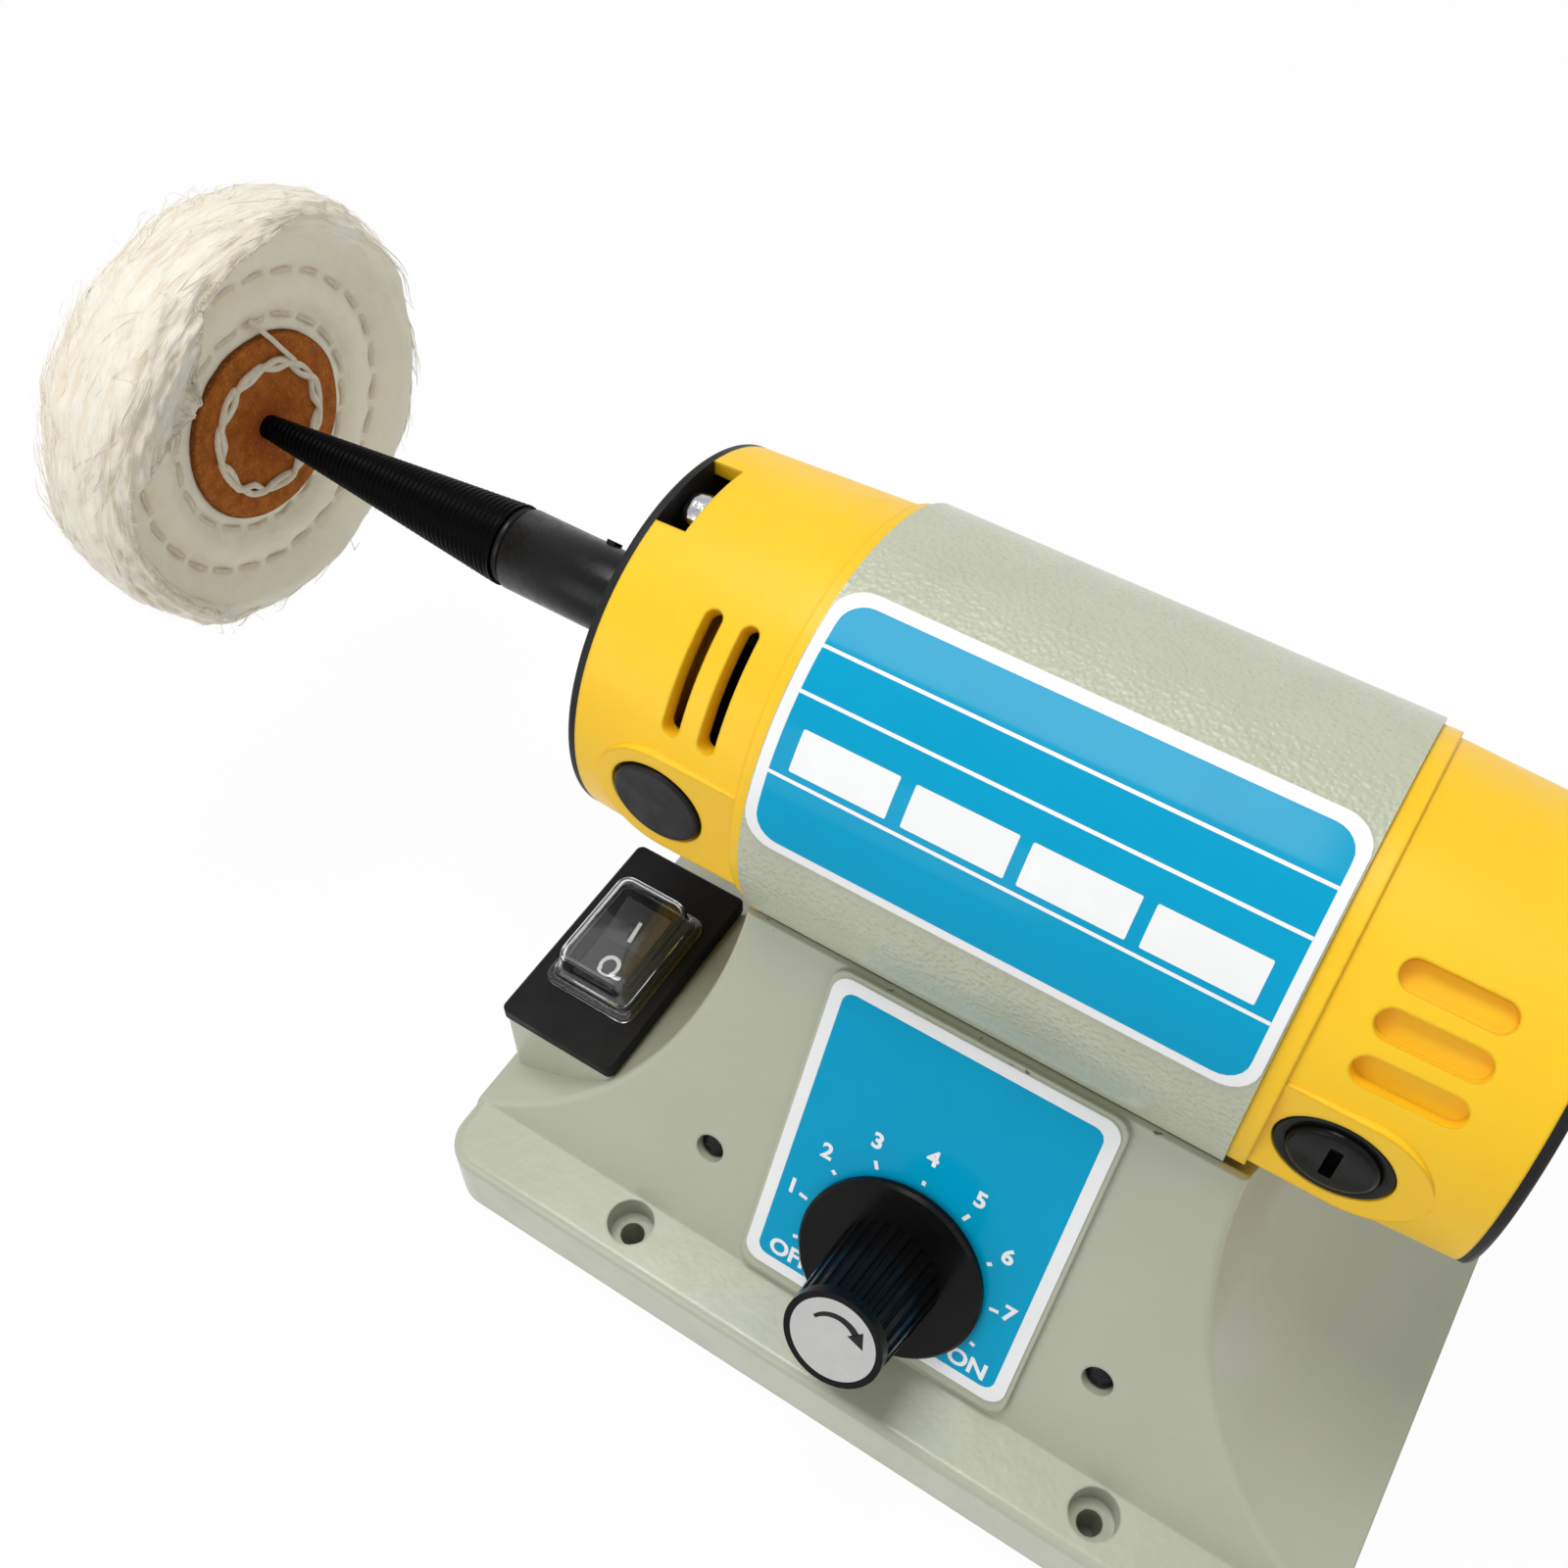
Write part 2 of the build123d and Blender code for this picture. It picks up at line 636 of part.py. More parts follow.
# Rear end cap: the same bell with a collar band, brush bosses and three blind flutes a side
with BuildPart() as rear_end_cap:
    with BuildSketch(motor_side):
        with BuildLine():
            Polyline(
                (barrel_right, cap_bore_r),
                (barrel_right - spigot_length, cap_bore_r),
                (barrel_right - spigot_length, spigot_r),
                (barrel_right, spigot_r),
                (barrel_right, cap_root_r + cap_band_rise),
                (barrel_right + rear_band_width, cap_root_r + cap_band_rise),
                (barrel_right + rear_band_width, cap_root_r),
                (rear_cap_end, cap_tip_r),
                (rear_cap_end, cap_bore_r),
                (rear_wall_out, cap_bore_r),
                (rear_wall_out, journal_r + air_gap),
                (rear_wall_out - bearing_lip, journal_r + air_gap),
                (rear_wall_out - bearing_lip, rear_bearing_r + seat_gap),
                (rear_hub_face, rear_bearing_r + seat_gap),
                (rear_hub_face, rear_hub_r),
                (rear_wall_out - end_wall, rear_hub_r),
                (rear_wall_out - end_wall, cap_bore_r),
                close=True,
            )
        make_face()
    revolve(axis=motor_axis)
    for side in (1, -1):
        with BuildSketch(sideways(brush_x, boss_face, side)) as rear_boss:
            with Locations((rear_boss_shift, 0)):
                Circle(boss_r)
            with Locations(((rear_boss_shift - rear_boss_run) / 2, 0)):
                Rectangle(rear_boss_run + rear_boss_shift, 2 * boss_r)
        extrude(amount=cap_root_r, mode=Mode.SUBTRACT)
        extrude(rear_boss.sketch, amount=-boss_reach)
        with BuildSketch(sideways(brush_x, boss_face, side)):
            Circle(holder_r + brush_sleeve_wall)
        extrude(amount=-2 * boss_reach)
        with BuildSketch(sideways(brush_x, boss_face, side)):
            Circle(brush_cap_r + seat_gap)
        extrude(amount=-brush_cap_thickness, mode=Mode.SUBTRACT)
        with BuildSketch(sideways(brush_x, boss_face, side)):
            Circle(holder_r + seat_gap)
        extrude(amount=-2 * boss_reach - overrun, mode=Mode.SUBTRACT)
        for elevation in straight_vent_elevations:
            turned = elevation if side == 1 else half_turn + elevation
            with BuildSketch(radial(straight_vent_x, turned, cap_bore_r + straight_vent_floor)):
                SlotOverall(straight_vent_length, straight_vent_width)
            extrude(amount=cap_root_r - cap_bore_r, mode=Mode.SUBTRACT)
    with BuildSketch(across(rear_wall_out)):
        with GridLocations(2 * plate_post_radius, 0, 2, 1):
            Circle(plate_post_r)
    extrude(amount=rear_recess)
    with BuildSketch(across(rear_cap_end)):
        with GridLocations(2 * plate_post_radius, 0, 2, 1):
            Circle(plate_screw_r + slip_gap)
    extrude(amount=-plate_screw_length, mode=Mode.SUBTRACT)
    with BuildSketch(across(rear_wall_out)):
        with GridLocations(0, 2 * tie_bolt_radius, 1, 2):
            Circle(tie_bolt_r + slip_gap)
    extrude(amount=-end_wall, mode=Mode.SUBTRACT)
rear_end_cap.part.label = "rear_end_cap"
export_step(rear_end_cap.part, "parts/rear_end_cap.step")

# Black plates that close the caps, each held by two screws
with BuildPart() as front_plate:
    with BuildSketch(across(front_cap_end)):
        Circle(cap_tip_r)
        Circle(collar_r + plate_hole_gap, mode=Mode.SUBTRACT)
        with GridLocations(2 * plate_post_radius, 0, 2, 1):
            Circle(plate_screw_r + slip_gap, mode=Mode.SUBTRACT)
    extrude(amount=-plate_rim)
    fillet(front_plate.edges().group_by(Axis.X)[0].sort_by(SortBy.LENGTH)[-1], plate_rim / 2)
front_plate.part.label = "front_plate"
export_step(front_plate.part, "parts/front_plate.step")

with BuildPart() as rear_plate:
    with BuildSketch(across(rear_cap_end)):
        Circle(cap_tip_r)
        with GridLocations(2 * plate_post_radius, 0, 2, 1):
            Circle(plate_screw_r + slip_gap, mode=Mode.SUBTRACT)
    extrude(amount=plate_rim)
    fillet(rear_plate.edges().group_by(Axis.X)[-1].sort_by(SortBy.LENGTH)[-1], plate_rim / 2)
rear_plate.part.label = "rear_plate"
export_step(rear_plate.part, "parts/rear_plate.step")

with BuildPart() as front_plate_screws:
    with BuildSketch(across(front_plate_face)):
        with GridLocations(2 * plate_post_radius, 0, 2, 1):
            Circle(screw_head_r)
    extrude(amount=-screw_head_height)
    with BuildSketch(across(front_plate_face)):
        with GridLocations(2 * plate_post_radius, 0, 2, 1):
            Circle(plate_screw_r)
    extrude(amount=plate_screw_length)
front_plate_screws.part.label = "front_plate_screws"
export_step(front_plate_screws.part, "parts/front_plate_screws.step")

with BuildPart() as rear_plate_screws:
    with BuildSketch(across(rear_cap_end + plate_rim)):
        with GridLocations(2 * plate_post_radius, 0, 2, 1):
            Circle(screw_head_r)
    extrude(amount=screw_head_height)
    with BuildSketch(across(rear_cap_end + plate_rim)):
        with GridLocations(2 * plate_post_radius, 0, 2, 1):
            Circle(plate_screw_r)
    extrude(amount=-plate_screw_length)
rear_plate_screws.part.label = "rear_plate_screws"
export_step(rear_plate_screws.part, "parts/rear_plate_screws.step")

# Two tie bolts clamp the caps on the barrel; their domed nuts show in the notches
with BuildPart() as tie_bolts:
    with BuildSketch(across(rear_wall_out)):
        with GridLocations(0, 2 * tie_bolt_radius, 1, 2):
            Circle(tie_head_r)
    extrude(amount=tie_head_height)
    with BuildSketch(across(rear_wall_out)):
        with GridLocations(0, 2 * tie_bolt_radius, 1, 2):
            Circle(tie_bolt_r)
    extrude(amount=front_wall_out - rear_wall_out - tie_nut_length / 2)
tie_bolts.part.label = "tie_bolts"
export_step(tie_bolts.part, "parts/tie_bolts.step")

with BuildPart() as tie_bolt_nuts:
    with BuildSketch(across(front_wall_out)):
        with GridLocations(0, 2 * tie_bolt_radius, 1, 2):
            Circle(tie_nut_r)
    extrude(amount=-tie_nut_length)
    fillet(tie_bolt_nuts.edges().group_by(Axis.X)[0], tie_nut_r / 2)
    with BuildSketch(across(front_wall_out)):
        with GridLocations(0, 2 * tie_bolt_radius, 1, 2):
            Circle(tie_bolt_r + press_gap)
    extrude(amount=-tie_nut_length / 2 - press_gap, mode=Mode.SUBTRACT)
tie_bolt_nuts.part.label = "tie_bolt_nuts"
export_step(tie_bolt_nuts.part, "parts/tie_bolt_nuts.step")

# Bearings, with the groove between their rings on the open face
with BuildPart() as front_bearing:
    with BuildSketch(across(front_hub_face)):
        Circle(front_bearing_r)
        Circle(front_bearing_bore_r, mode=Mode.SUBTRACT)
    extrude(amount=-front_bearing_width)
    with BuildSketch(across(front_hub_face)):
        Circle((front_bearing_r + front_bearing_bore_r) / 2 + bearing_lip)
        Circle((front_bearing_r + front_bearing_bore_r) / 2 - bearing_lip, mode=Mode.SUBTRACT)
    extrude(amount=-bearing_groove, mode=Mode.SUBTRACT)
front_bearing.part.label = "front_bearing"
export_step(front_bearing.part, "parts/front_bearing.step")

with BuildPart() as rear_bearing:
    with BuildSketch(across(rear_hub_face)):
        Circle(rear_bearing_r)
        Circle(rear_bearing_bore_r, mode=Mode.SUBTRACT)
    extrude(amount=rear_bearing_width)
    with BuildSketch(across(rear_hub_face)):
        Circle((rear_bearing_r + rear_bearing_bore_r) / 2 + bearing_lip)
        Circle((rear_bearing_r + rear_bearing_bore_r) / 2 - bearing_lip, mode=Mode.SUBTRACT)
    extrude(amount=bearing_groove, mode=Mode.SUBTRACT)
rear_bearing.part.label = "rear_bearing"
export_step(rear_bearing.part, "parts/rear_bearing.step")

# Stator: yoke with two poles, bored for the tie bolts, and a field coil round each pole
with BuildPart() as stator_core:
    with BuildSketch(across(core_left)):
        Circle(stator_r)
        Circle(yoke_bore_r, mode=Mode.SUBTRACT)
        with GridLocations(0, pole_bore_r + yoke_bore_r, 1, 2):
            Rectangle(pole_width, yoke_bore_r - pole_bore_r + yoke_thickness)
        Circle(pole_bore_r, mode=Mode.SUBTRACT)
        with GridLocations(0, 2 * tie_bolt_radius, 1, 2):
            Circle(tie_bolt_r + slip_gap, mode=Mode.SUBTRACT)
    extrude(amount=core_length)
stator_core.part.label = "stator_core"
export_step(stator_core.part, "parts/stator_core.step")

with BuildPart() as field_coils:
    with BuildSketch(across(core_left - coil_overhang)):
        Circle(yoke_bore_r - slip_gap)
        Circle(pole_bore_r, mode=Mode.SUBTRACT)
        with GridLocations(pole_width + 2 * coil_side + yoke_bore_r, 0, 2, 1):
            Rectangle(yoke_bore_r, 2 * yoke_bore_r, mode=Mode.SUBTRACT)
    extrude(amount=core_length + 2 * coil_overhang)
    with BuildSketch(Plane.XY.offset(axis_height)):
        with Locations(((core_left + core_right) / 2, 0)):
            Rectangle(core_length + 2 * slip_gap, pole_width + 2 * slip_gap)
    extrude(amount=barrel_r, both=True, mode=Mode.SUBTRACT)
    with BuildSketch(across(core_left - coil_overhang)):
        with GridLocations(0, 2 * tie_bolt_radius, 1, 2):
            Circle(tie_bolt_r + air_gap)
    extrude(amount=core_length + 2 * coil_overhang, mode=Mode.SUBTRACT)
field_coils.part.label = "field_coils"
export_step(field_coils.part, "parts/field_coils.step")

# Rotor: stepped shaft, slotted core, windings, commutator and fan
with BuildPart() as motor_shaft:
    with BuildSketch(across(shaft_nose)):
        Circle(shaft_r)
    extrude(amount=rear_hub_face - shaft_step - shaft_nose)
    with BuildSketch(across(rear_hub_face - shaft_step)):
        Circle(journal_r)
    extrude(amount=rear_bearing_width + bearing_lip + shaft_step)
    chamfer(motor_shaft.edges().group_by(Axis.X)[0], shaft_step)
motor_shaft.part.label = "motor_shaft"
export_step(motor_shaft.part, "parts/motor_shaft.step")

with BuildPart() as armature_core:
    with BuildSketch(across(core_left)):
        Circle(armature_r)
        Circle(shaft_r + press_gap, mode=Mode.SUBTRACT)
        with PolarLocations(armature_r - slot_depth / 2, slot_count):
            Rectangle(slot_depth + overrun, slot_width, mode=Mode.SUBTRACT)
    extrude(amount=core_length)
armature_core.part.label = "armature_core"
export_step(armature_core.part, "parts/armature_core.step")

with BuildPart() as armature_windings:
    with BuildSketch(motor_side):
        with BuildLine():
            Polyline(
                (core_left - winding_overhang, winding_neck_r),
                (core_left - press_gap, winding_neck_r),
                (core_left - press_gap, armature_r - slip_gap),
                (core_left - winding_overhang / 2, armature_r - slip_gap),
                (core_left - winding_overhang, armature_r - slot_depth / 2),
                close=True,
            )
        make_face()
        with BuildLine():
            Polyline(
                (core_right + press_gap, winding_neck_r),
                (core_right + winding_overhang, winding_neck_r),
                (core_right + winding_overhang, armature_r - slot_depth / 2),
                (core_right + winding_overhang / 2, armature_r - slip_gap),
                (core_right + press_gap, armature_r - slip_gap),
                close=True,
            )
        make_face()
    revolve(axis=motor_axis)
    with BuildSketch(across(core_left - press_gap)):
        with PolarLocations(armature_r - slot_depth / 2 - press_gap, slot_count):
            Rectangle(slot_depth - 2 * slip_gap, slot_width - 2 * slip_gap)
    extrude(amount=core_length + 2 * press_gap)
armature_windings.part.label = "armature_windings"
export_step(armature_windings.part, "parts/armature_windings.step")

with BuildPart() as commutator:
    with BuildSketch(across(commutator_start)):
        Circle(commutator_r)
        Circle(shaft_r + press_gap, mode=Mode.SUBTRACT)
    extrude(amount=commutator_length)
    with BuildSketch(across(commutator_start)):
        Circle(riser_r)
        Circle(shaft_r + press_gap, mode=Mode.SUBTRACT)
    extrude(amount=-riser_width)
commutator.part.label = "commutator"
export_step(commutator.part, "parts/commutator.step")

with BuildPart() as cooling_fan:
    with BuildSketch(across(fan_start)):
        Circle(fan_r)
    extrude(amount=fan_disc)
    with BuildSketch(across(fan_start)):
        with PolarLocations(fan_r / 2, fan_blade_count):
            Rectangle(fan_r - 2 * fan_blade, fan_blade)
        Circle(fan_hub_r)
    extrude(amount=fan_width)
    with BuildSketch(across(fan_start)):
        Circle(shaft_r + press_gap)
    extrude(amount=fan_width, mode=Mode.SUBTRACT)
cooling_fan.part.label = "cooling_fan"
export_step(cooling_fan.part, "parts/cooling_fan.step")

# Brush gear: holder, spring and screwed cap in each rear boss; the brush slides in the holder
brush_face = commutator_r + brush_gap
brush_back = brush_face + brush_length
brush_cap_inside = boss_face - brush_cap_thickness

with BuildPart() as brush_holders:
    for side in (1, -1):
        with BuildSketch(sideways(brush_x, commutator_r + holder_gap, side)):
            Circle(holder_r)
            Rectangle(brush_width + 2 * slip_gap, brush_thickness + 2 * slip_gap, mode=Mode.SUBTRACT)
        extrude(amount=brush_cap_inside - commutator_r - holder_gap)
brush_holders.part.label = "brush_holders"
export_step(brush_holders.part, "parts/brush_holders.step")

with BuildPart() as brush_caps:
    for side in (1, -1):
        with BuildSketch(sideways(brush_x, brush_cap_inside, side)):
            Circle(brush_cap_r)
        extrude(amount=brush_cap_thickness)
        with BuildSketch(sideways(brush_x, boss_face, side)):
            Circle(brush_cap_dome_r)
        extrude(amount=brush_cap_dome)
    fillet(brush_caps.edges().group_by(Axis.Y)[0], brush_cap_dome / 2)
    fillet(brush_caps.edges().group_by(Axis.Y)[-1], brush_cap_dome / 2)
    for side in (1, -1):
        with BuildSketch(sideways(brush_x, boss_face + brush_cap_dome, side)):
            Rectangle(brush_slot_width, brush_slot_length)
        extrude(amount=-brush_slot_depth, mode=Mode.SUBTRACT)
brush_caps.part.label = "brush_caps"
export_step(brush_caps.part, "parts/brush_caps.step")

with BuildPart() as front_brush:
    with BuildSketch(sideways(brush_x, brush_back, 1)):
        Rectangle(brush_width, brush_thickness)
    extrude(amount=commutator_r / 2 - brush_back)
    with BuildSketch(across(commutator_start)):
        Circle(brush_face)
    extrude(amount=commutator_length, mode=Mode.SUBTRACT)
front_brush.part.label = "front_brush"
export_step(front_brush.part, "parts/front_brush.step")

with BuildPart() as rear_brush:
    with BuildSketch(sideways(brush_x, brush_back, -1)):
        Rectangle(brush_width, brush_thickness)
    extrude(amount=commutator_r / 2 - brush_back)
    with BuildSketch(across(commutator_start)):
        Circle(brush_face)
    extrude(amount=commutator_length, mode=Mode.SUBTRACT)
rear_brush.part.label = "rear_brush"
export_step(rear_brush.part, "parts/rear_brush.step")

spring_r = brush_thickness / 2 - spring_wire_r
spring_start = brush_back + spring_wire_r + press_gap
spring_length = brush_cap_inside - spring_wire_r - press_gap - spring_start

with BuildPart() as front_brush_spring:
    with BuildLine():
        front_seat = sideways(brush_x, spring_start, 1)
        front_coil = Helix(
            spring_length / spring_turns, spring_length, spring_r, front_seat.origin, front_seat.z_dir
        )
    with BuildSketch(Plane(front_coil @ 0, z_dir=front_coil % 0)):
        RegularPolygon(spring_wire_r, 6)
    sweep(is_frenet=True)
front_brush_spring.part.label = "front_brush_spring"
export_step(front_brush_spring.part, "parts/front_brush_spring.step")

with BuildPart() as rear_brush_spring:
    with BuildLine():
        rear_seat = sideways(brush_x, spring_start, -1)
        rear_coil = Helix(
            spring_length / spring_turns, spring_length, spring_r, rear_seat.origin, rear_seat.z_dir
        )
    with BuildSketch(Plane(rear_coil @ 0, z_dir=rear_coil % 0)):
        RegularPolygon(spring_wire_r, 6)
    sweep(is_frenet=True)
rear_brush_spring.part.label = "rear_brush_spring"
export_step(rear_brush_spring.part, "parts/rear_brush_spring.step")

# Plain plugs in the front cap's bosses
with BuildPart() as blank_plugs:
    for side in (1, -1):
        with BuildSketch(sideways(plug_x, boss_face - plug_depth, side)):
            Circle(plug_r)
        extrude(amount=plug_depth + plug_crown)
    fillet(blank_plugs.edges().group_by(Axis.Y)[0], plug_crown)
    fillet(blank_plugs.edges().group_by(Axis.Y)[-1], plug_crown)
blank_plugs.part.label = "blank_plugs"
export_step(blank_plugs.part, "parts/blank_plugs.step")

# Tapered spindle on the shaft's nose, locked by a set screw
with BuildPart() as tapered_spindle:
    with BuildSketch(motor_side):
        with BuildLine():
            Polyline(
                (collar_start, shaft_r + press_gap),
                (collar_start, collar_r),
                (collar_end, collar_r),
                (collar_end, spindle_groove_r),
                (taper_start, spindle_groove_r),
                (taper_start, taper_big_r),
                (taper_end, taper_tip_r),
                (taper_end, 0),
                (shaft_nose - press_gap, 0),
                (shaft_nose - press_gap, shaft_r + press_gap),
                close=True,
            )
        make_face()
    revolve(axis=motor_axis)
    with BuildSketch(radial(collar_start - set_screw_offset, set_screw_angle, shaft_r)):
        Circle(set_screw_r + press_gap)
    extrude(amount=collar_r, mode=Mode.SUBTRACT)
tapered_spindle.part.label = "tapered_spindle"
export_step(tapered_spindle.part, "parts/tapered_spindle.step")

with BuildPart() as spindle_set_screw:
    with BuildSketch(radial(collar_start - set_screw_offset, set_screw_angle, shaft_r + press_gap)):
        Circle(set_screw_r)
    extrude(amount=collar_r + set_screw_rise - shaft_r)
spindle_set_screw.part.label = "spindle_set_screw"
export_step(spindle_set_screw.part, "parts/spindle_set_screw.step")

# Cotton buff, drawn in at its two stitch rings, with a leather washer on each face
buff_middle = (buff_face + buff_back) / 2
buff_half = buff_thickness / 2
leather_seat = buff_half - leather_thickness
near_face = [(buff_middle + d * buff_half, r * buff_r) for r, d in buff_face_shares]
far_face = [(buff_middle - d * buff_half, r * buff_r) for r, d in buff_face_shares]

with BuildPart() as buff_wheel:
    with BuildSketch(motor_side):
        with BuildLine():
            near = Spline(*near_face)
            rim = ThreePointArc(near_face[-1], (buff_middle, buff_r), far_face[-1])
            far = Spline(*far_face)
            Polyline(
                near_face[0],
                (buff_middle + leather_seat, near_face[0][1]),
                (buff_middle + leather_seat, taper_r(buff_middle + leather_seat) + slip_gap),
                (buff_middle - leather_seat, taper_r(buff_middle - leather_seat) + slip_gap),
                (buff_middle - leather_seat, far_face[0][1]),
                far_face[0],
            )
        make_face()
    revolve(axis=motor_axis)
buff_wheel.part.label = "buff_wheel"
export_step(buff_wheel.part, "parts/buff_wheel.step")

with BuildPart() as leather_washers:
    with BuildSketch(motor_side):
        for inner, outer in ((leather_seat, buff_half), (-leather_seat, -buff_half)):
            with BuildLine():
                Polyline(
                    (buff_middle + inner, taper_r(buff_middle + inner) + slip_gap),
                    (buff_middle + outer, taper_r(buff_middle + outer) + slip_gap),
                    (buff_middle + outer, leather_r),
                    (buff_middle + inner, leather_r),
                    close=True,
                )
            make_face()
    revolve(axis=motor_axis)
leather_washers.part.label = "leather_washers"
export_step(leather_washers.part, "parts/leather_washers.step")

# Labels: one wrapped round the barrel, one flat on the panel pad
with BuildPart() as rating_label:
    with BuildSketch(across(barrel_left + rating_label_margin)):
        Circle(barrel_r + running_gap + label_thickness)
        Circle(barrel_r + running_gap, mode=Mode.SUBTRACT)
    extrude(amount=barrel_length - 2 * rating_label_margin)
    with BuildSketch(radial(barrel_centre_x, rating_label_tilt_angle, 0)):
        RectangleRounded(
            barrel_length - 2 * rating_label_margin,
            2 * barrel_r * sin(radians(rating_label_angle / 2)),
            rating_label_corner_r,
        )
    extrude(amount=barrel_r + overrun, mode=Mode.INTERSECT)
rating_label.part.label = "rating_label"
export_step(rating_label.part, "parts/rating_label.step")

with BuildPart() as dial_label:
    with BuildSketch(panel(pad_thickness)):
        with Locations((0, slope_length - dial_label_height / 2 - dial_label_margin)):
            RectangleRounded(dial_label_width, dial_label_height, label_corner_r)
        with Locations((0, knob_up_slope)):
            Circle(pot_bushing_r + slip_gap, mode=Mode.SUBTRACT)
    extrude(amount=label_thickness)
dial_label.part.label = "dial_label"
export_step(dial_label.part, "parts/dial_label.step")

# Potentiometer behind the slope, with its bushing, nut and shaft
with BuildPart() as potentiometer_body:
    with BuildSketch(panel(board_face, 0, knob_up_slope)):
        Circle(pot_r)
    extrude(amount=pot_depth)
    with BuildSketch(panel(board_face, 0, knob_up_slope)):
        Circle(pot_bushing_r)
    extrude(amount=label_face + pot_bushing_rise - board_face)
    with BuildSketch(panel(label_face + pot_bushing_rise, 0, knob_up_slope)):
        Circle(pot_shaft_r + running_gap)
    extrude(amount=-pot_bushing_rise - label_face - casting_wall - pot_shaft_tail, mode=Mode.SUBTRACT)
potentiometer_body.part.label = "potentiometer_body"
export_step(potentiometer_body.part, "parts/potentiometer_body.step")

with BuildPart() as potentiometer_nut:
    with BuildSketch(panel(label_face, 0, knob_up_slope)):
        RegularPolygon(pot_nut_across / 2, 6, major_radius=False)
        Circle(pot_bushing_r + press_gap, mode=Mode.SUBTRACT)
    extrude(amount=pot_nut_height)
potentiometer_nut.part.label = "potentiometer_nut"
export_step(potentiometer_nut.part, "parts/potentiometer_nut.step")

with BuildPart() as potentiometer_shaft:
    with BuildSketch(panel(label_face + pot_shaft_rise, 0, knob_up_slope)):
        Circle(pot_shaft_r)
    extrude(amount=-pot_shaft_rise - label_face - casting_wall - pot_shaft_tail + running_gap)
potentiometer_shaft.part.label = "potentiometer_shaft"
export_step(potentiometer_shaft.part, "parts/potentiometer_shaft.step")

# Speed knob: wide skirt, tapered fluted body, smooth cap with a sunk disc
knob_foot = label_face + knob_gap
knob_top = knob_foot + knob_height

with BuildPart() as speed_knob:
    with BuildSketch(panel(knob_foot, 0, knob_up_slope)):
        Circle(skirt_r)
    extrude(amount=skirt_height)
    chamfer(speed_knob.edges().sort_by(Axis.Z)[-1], skirt_height / 3)
    with BuildSketch(panel(knob_foot + skirt_height, 0, knob_up_slope)):
        Circle(knob_root_r)
        with PolarLocations(knob_root_r, flute_count):
            Circle(flute_r, mode=Mode.SUBTRACT)
    with BuildSketch(panel(knob_top - knob_cap_height, 0, knob_up_slope)):
        Circle(knob_top_r)
        with PolarLocations(knob_top_r, flute_count):
            Circle(flute_r, mode=Mode.SUBTRACT)
    loft()
    with BuildSketch(panel(knob_top - knob_cap_height, 0, knob_up_slope)):
        Circle(knob_top_r)
    extrude(amount=knob_cap_height)
    with BuildSketch(panel(knob_top, 0, knob_up_slope)):
        Circle(knob_disc_r + slip_gap)
    extrude(amount=-knob_disc_thickness, mode=Mode.SUBTRACT)
    with BuildSketch(panel(knob_foot, 0, knob_up_slope)):
        Circle(knob_pocket_r)
    extrude(amount=knob_pocket_depth, mode=Mode.SUBTRACT)
    with BuildSketch(panel(knob_foot, 0, knob_up_slope)):
        Circle(pot_shaft_r + press_gap)
    extrude(amount=label_face + pot_shaft_rise + press_gap - knob_foot, mode=Mode.SUBTRACT)
speed_knob.part.label = "speed_knob"
export_step(speed_knob.part, "parts/speed_knob.step")

with BuildPart() as knob_disc:
    with BuildSketch(panel(knob_top - knob_disc_thickness, 0, knob_up_slope)):
        Circle(knob_disc_r)
    extrude(amount=knob_disc_thickness)
knob_disc.part.label = "knob_disc"
export_step(knob_disc.part, "parts/knob_disc.step")

# Screws sunk in the slope, which carry the control board on two bosses
with BuildPart() as panel_screws:
    with BuildSketch(panel(-panel_screw_sink, 0, knob_up_slope)):
        with GridLocations(panel_screw_pitch, 0, 2, 1):
            Circle(panel_screw_head_r)
    extrude(amount=screw_head_height)
    with BuildSketch(panel(-panel_screw_sink, 0, knob_up_slope)):
        with GridLocations(panel_screw_pitch, 0, 2, 1):
            Circle(panel_screw_r)
    extrude(amount=board_back + panel_screw_sink)
panel_screws.part.label = "panel_screws"
export_step(panel_screws.part, "parts/panel_screws.step")

with BuildPart() as control_board:
    with BuildSketch(panel(board_face, 0, knob_up_slope)):
        Rectangle(board_width, board_height)
        with GridLocations(panel_screw_pitch, 0, 2, 1):
            Circle(panel_screw_r + slip_gap, mode=Mode.SUBTRACT)
    extrude(amount=-board_thickness)
control_board.part.label = "control_board"
export_step(control_board.part, "parts/control_board.step")

with BuildPart() as board_capacitor:
    with BuildSketch(panel(board_back, capacitor_place_x, knob_up_slope)):
        Circle(capacitor_r)
    extrude(amount=-capacitor_length)
    fillet(board_capacitor.edges().sort_by(Axis.Y)[-1], capacitor_r / 4)
board_capacitor.part.label = "board_capacitor"
export_step(board_capacitor.part, "parts/board_capacitor.step")

with BuildPart() as heat_sink:
    with BuildSketch(panel(board_back, heat_sink_place_x, knob_up_slope)):
        Rectangle(heat_sink_width, heat_sink_height)
    extrude(amount=-heat_sink_length)
    with BuildSketch(panel(board_back - heat_sink_base, heat_sink_place_x, knob_up_slope)):
        with GridLocations(heat_sink_width / heat_sink_fins, 0, heat_sink_fins - 1, 1):
            Rectangle(heat_sink_gap_width, heat_sink_height)
    extrude(amount=heat_sink_base - heat_sink_length, mode=Mode.SUBTRACT)
heat_sink.part.label = "heat_sink"
export_step(heat_sink.part, "parts/heat_sink.step")

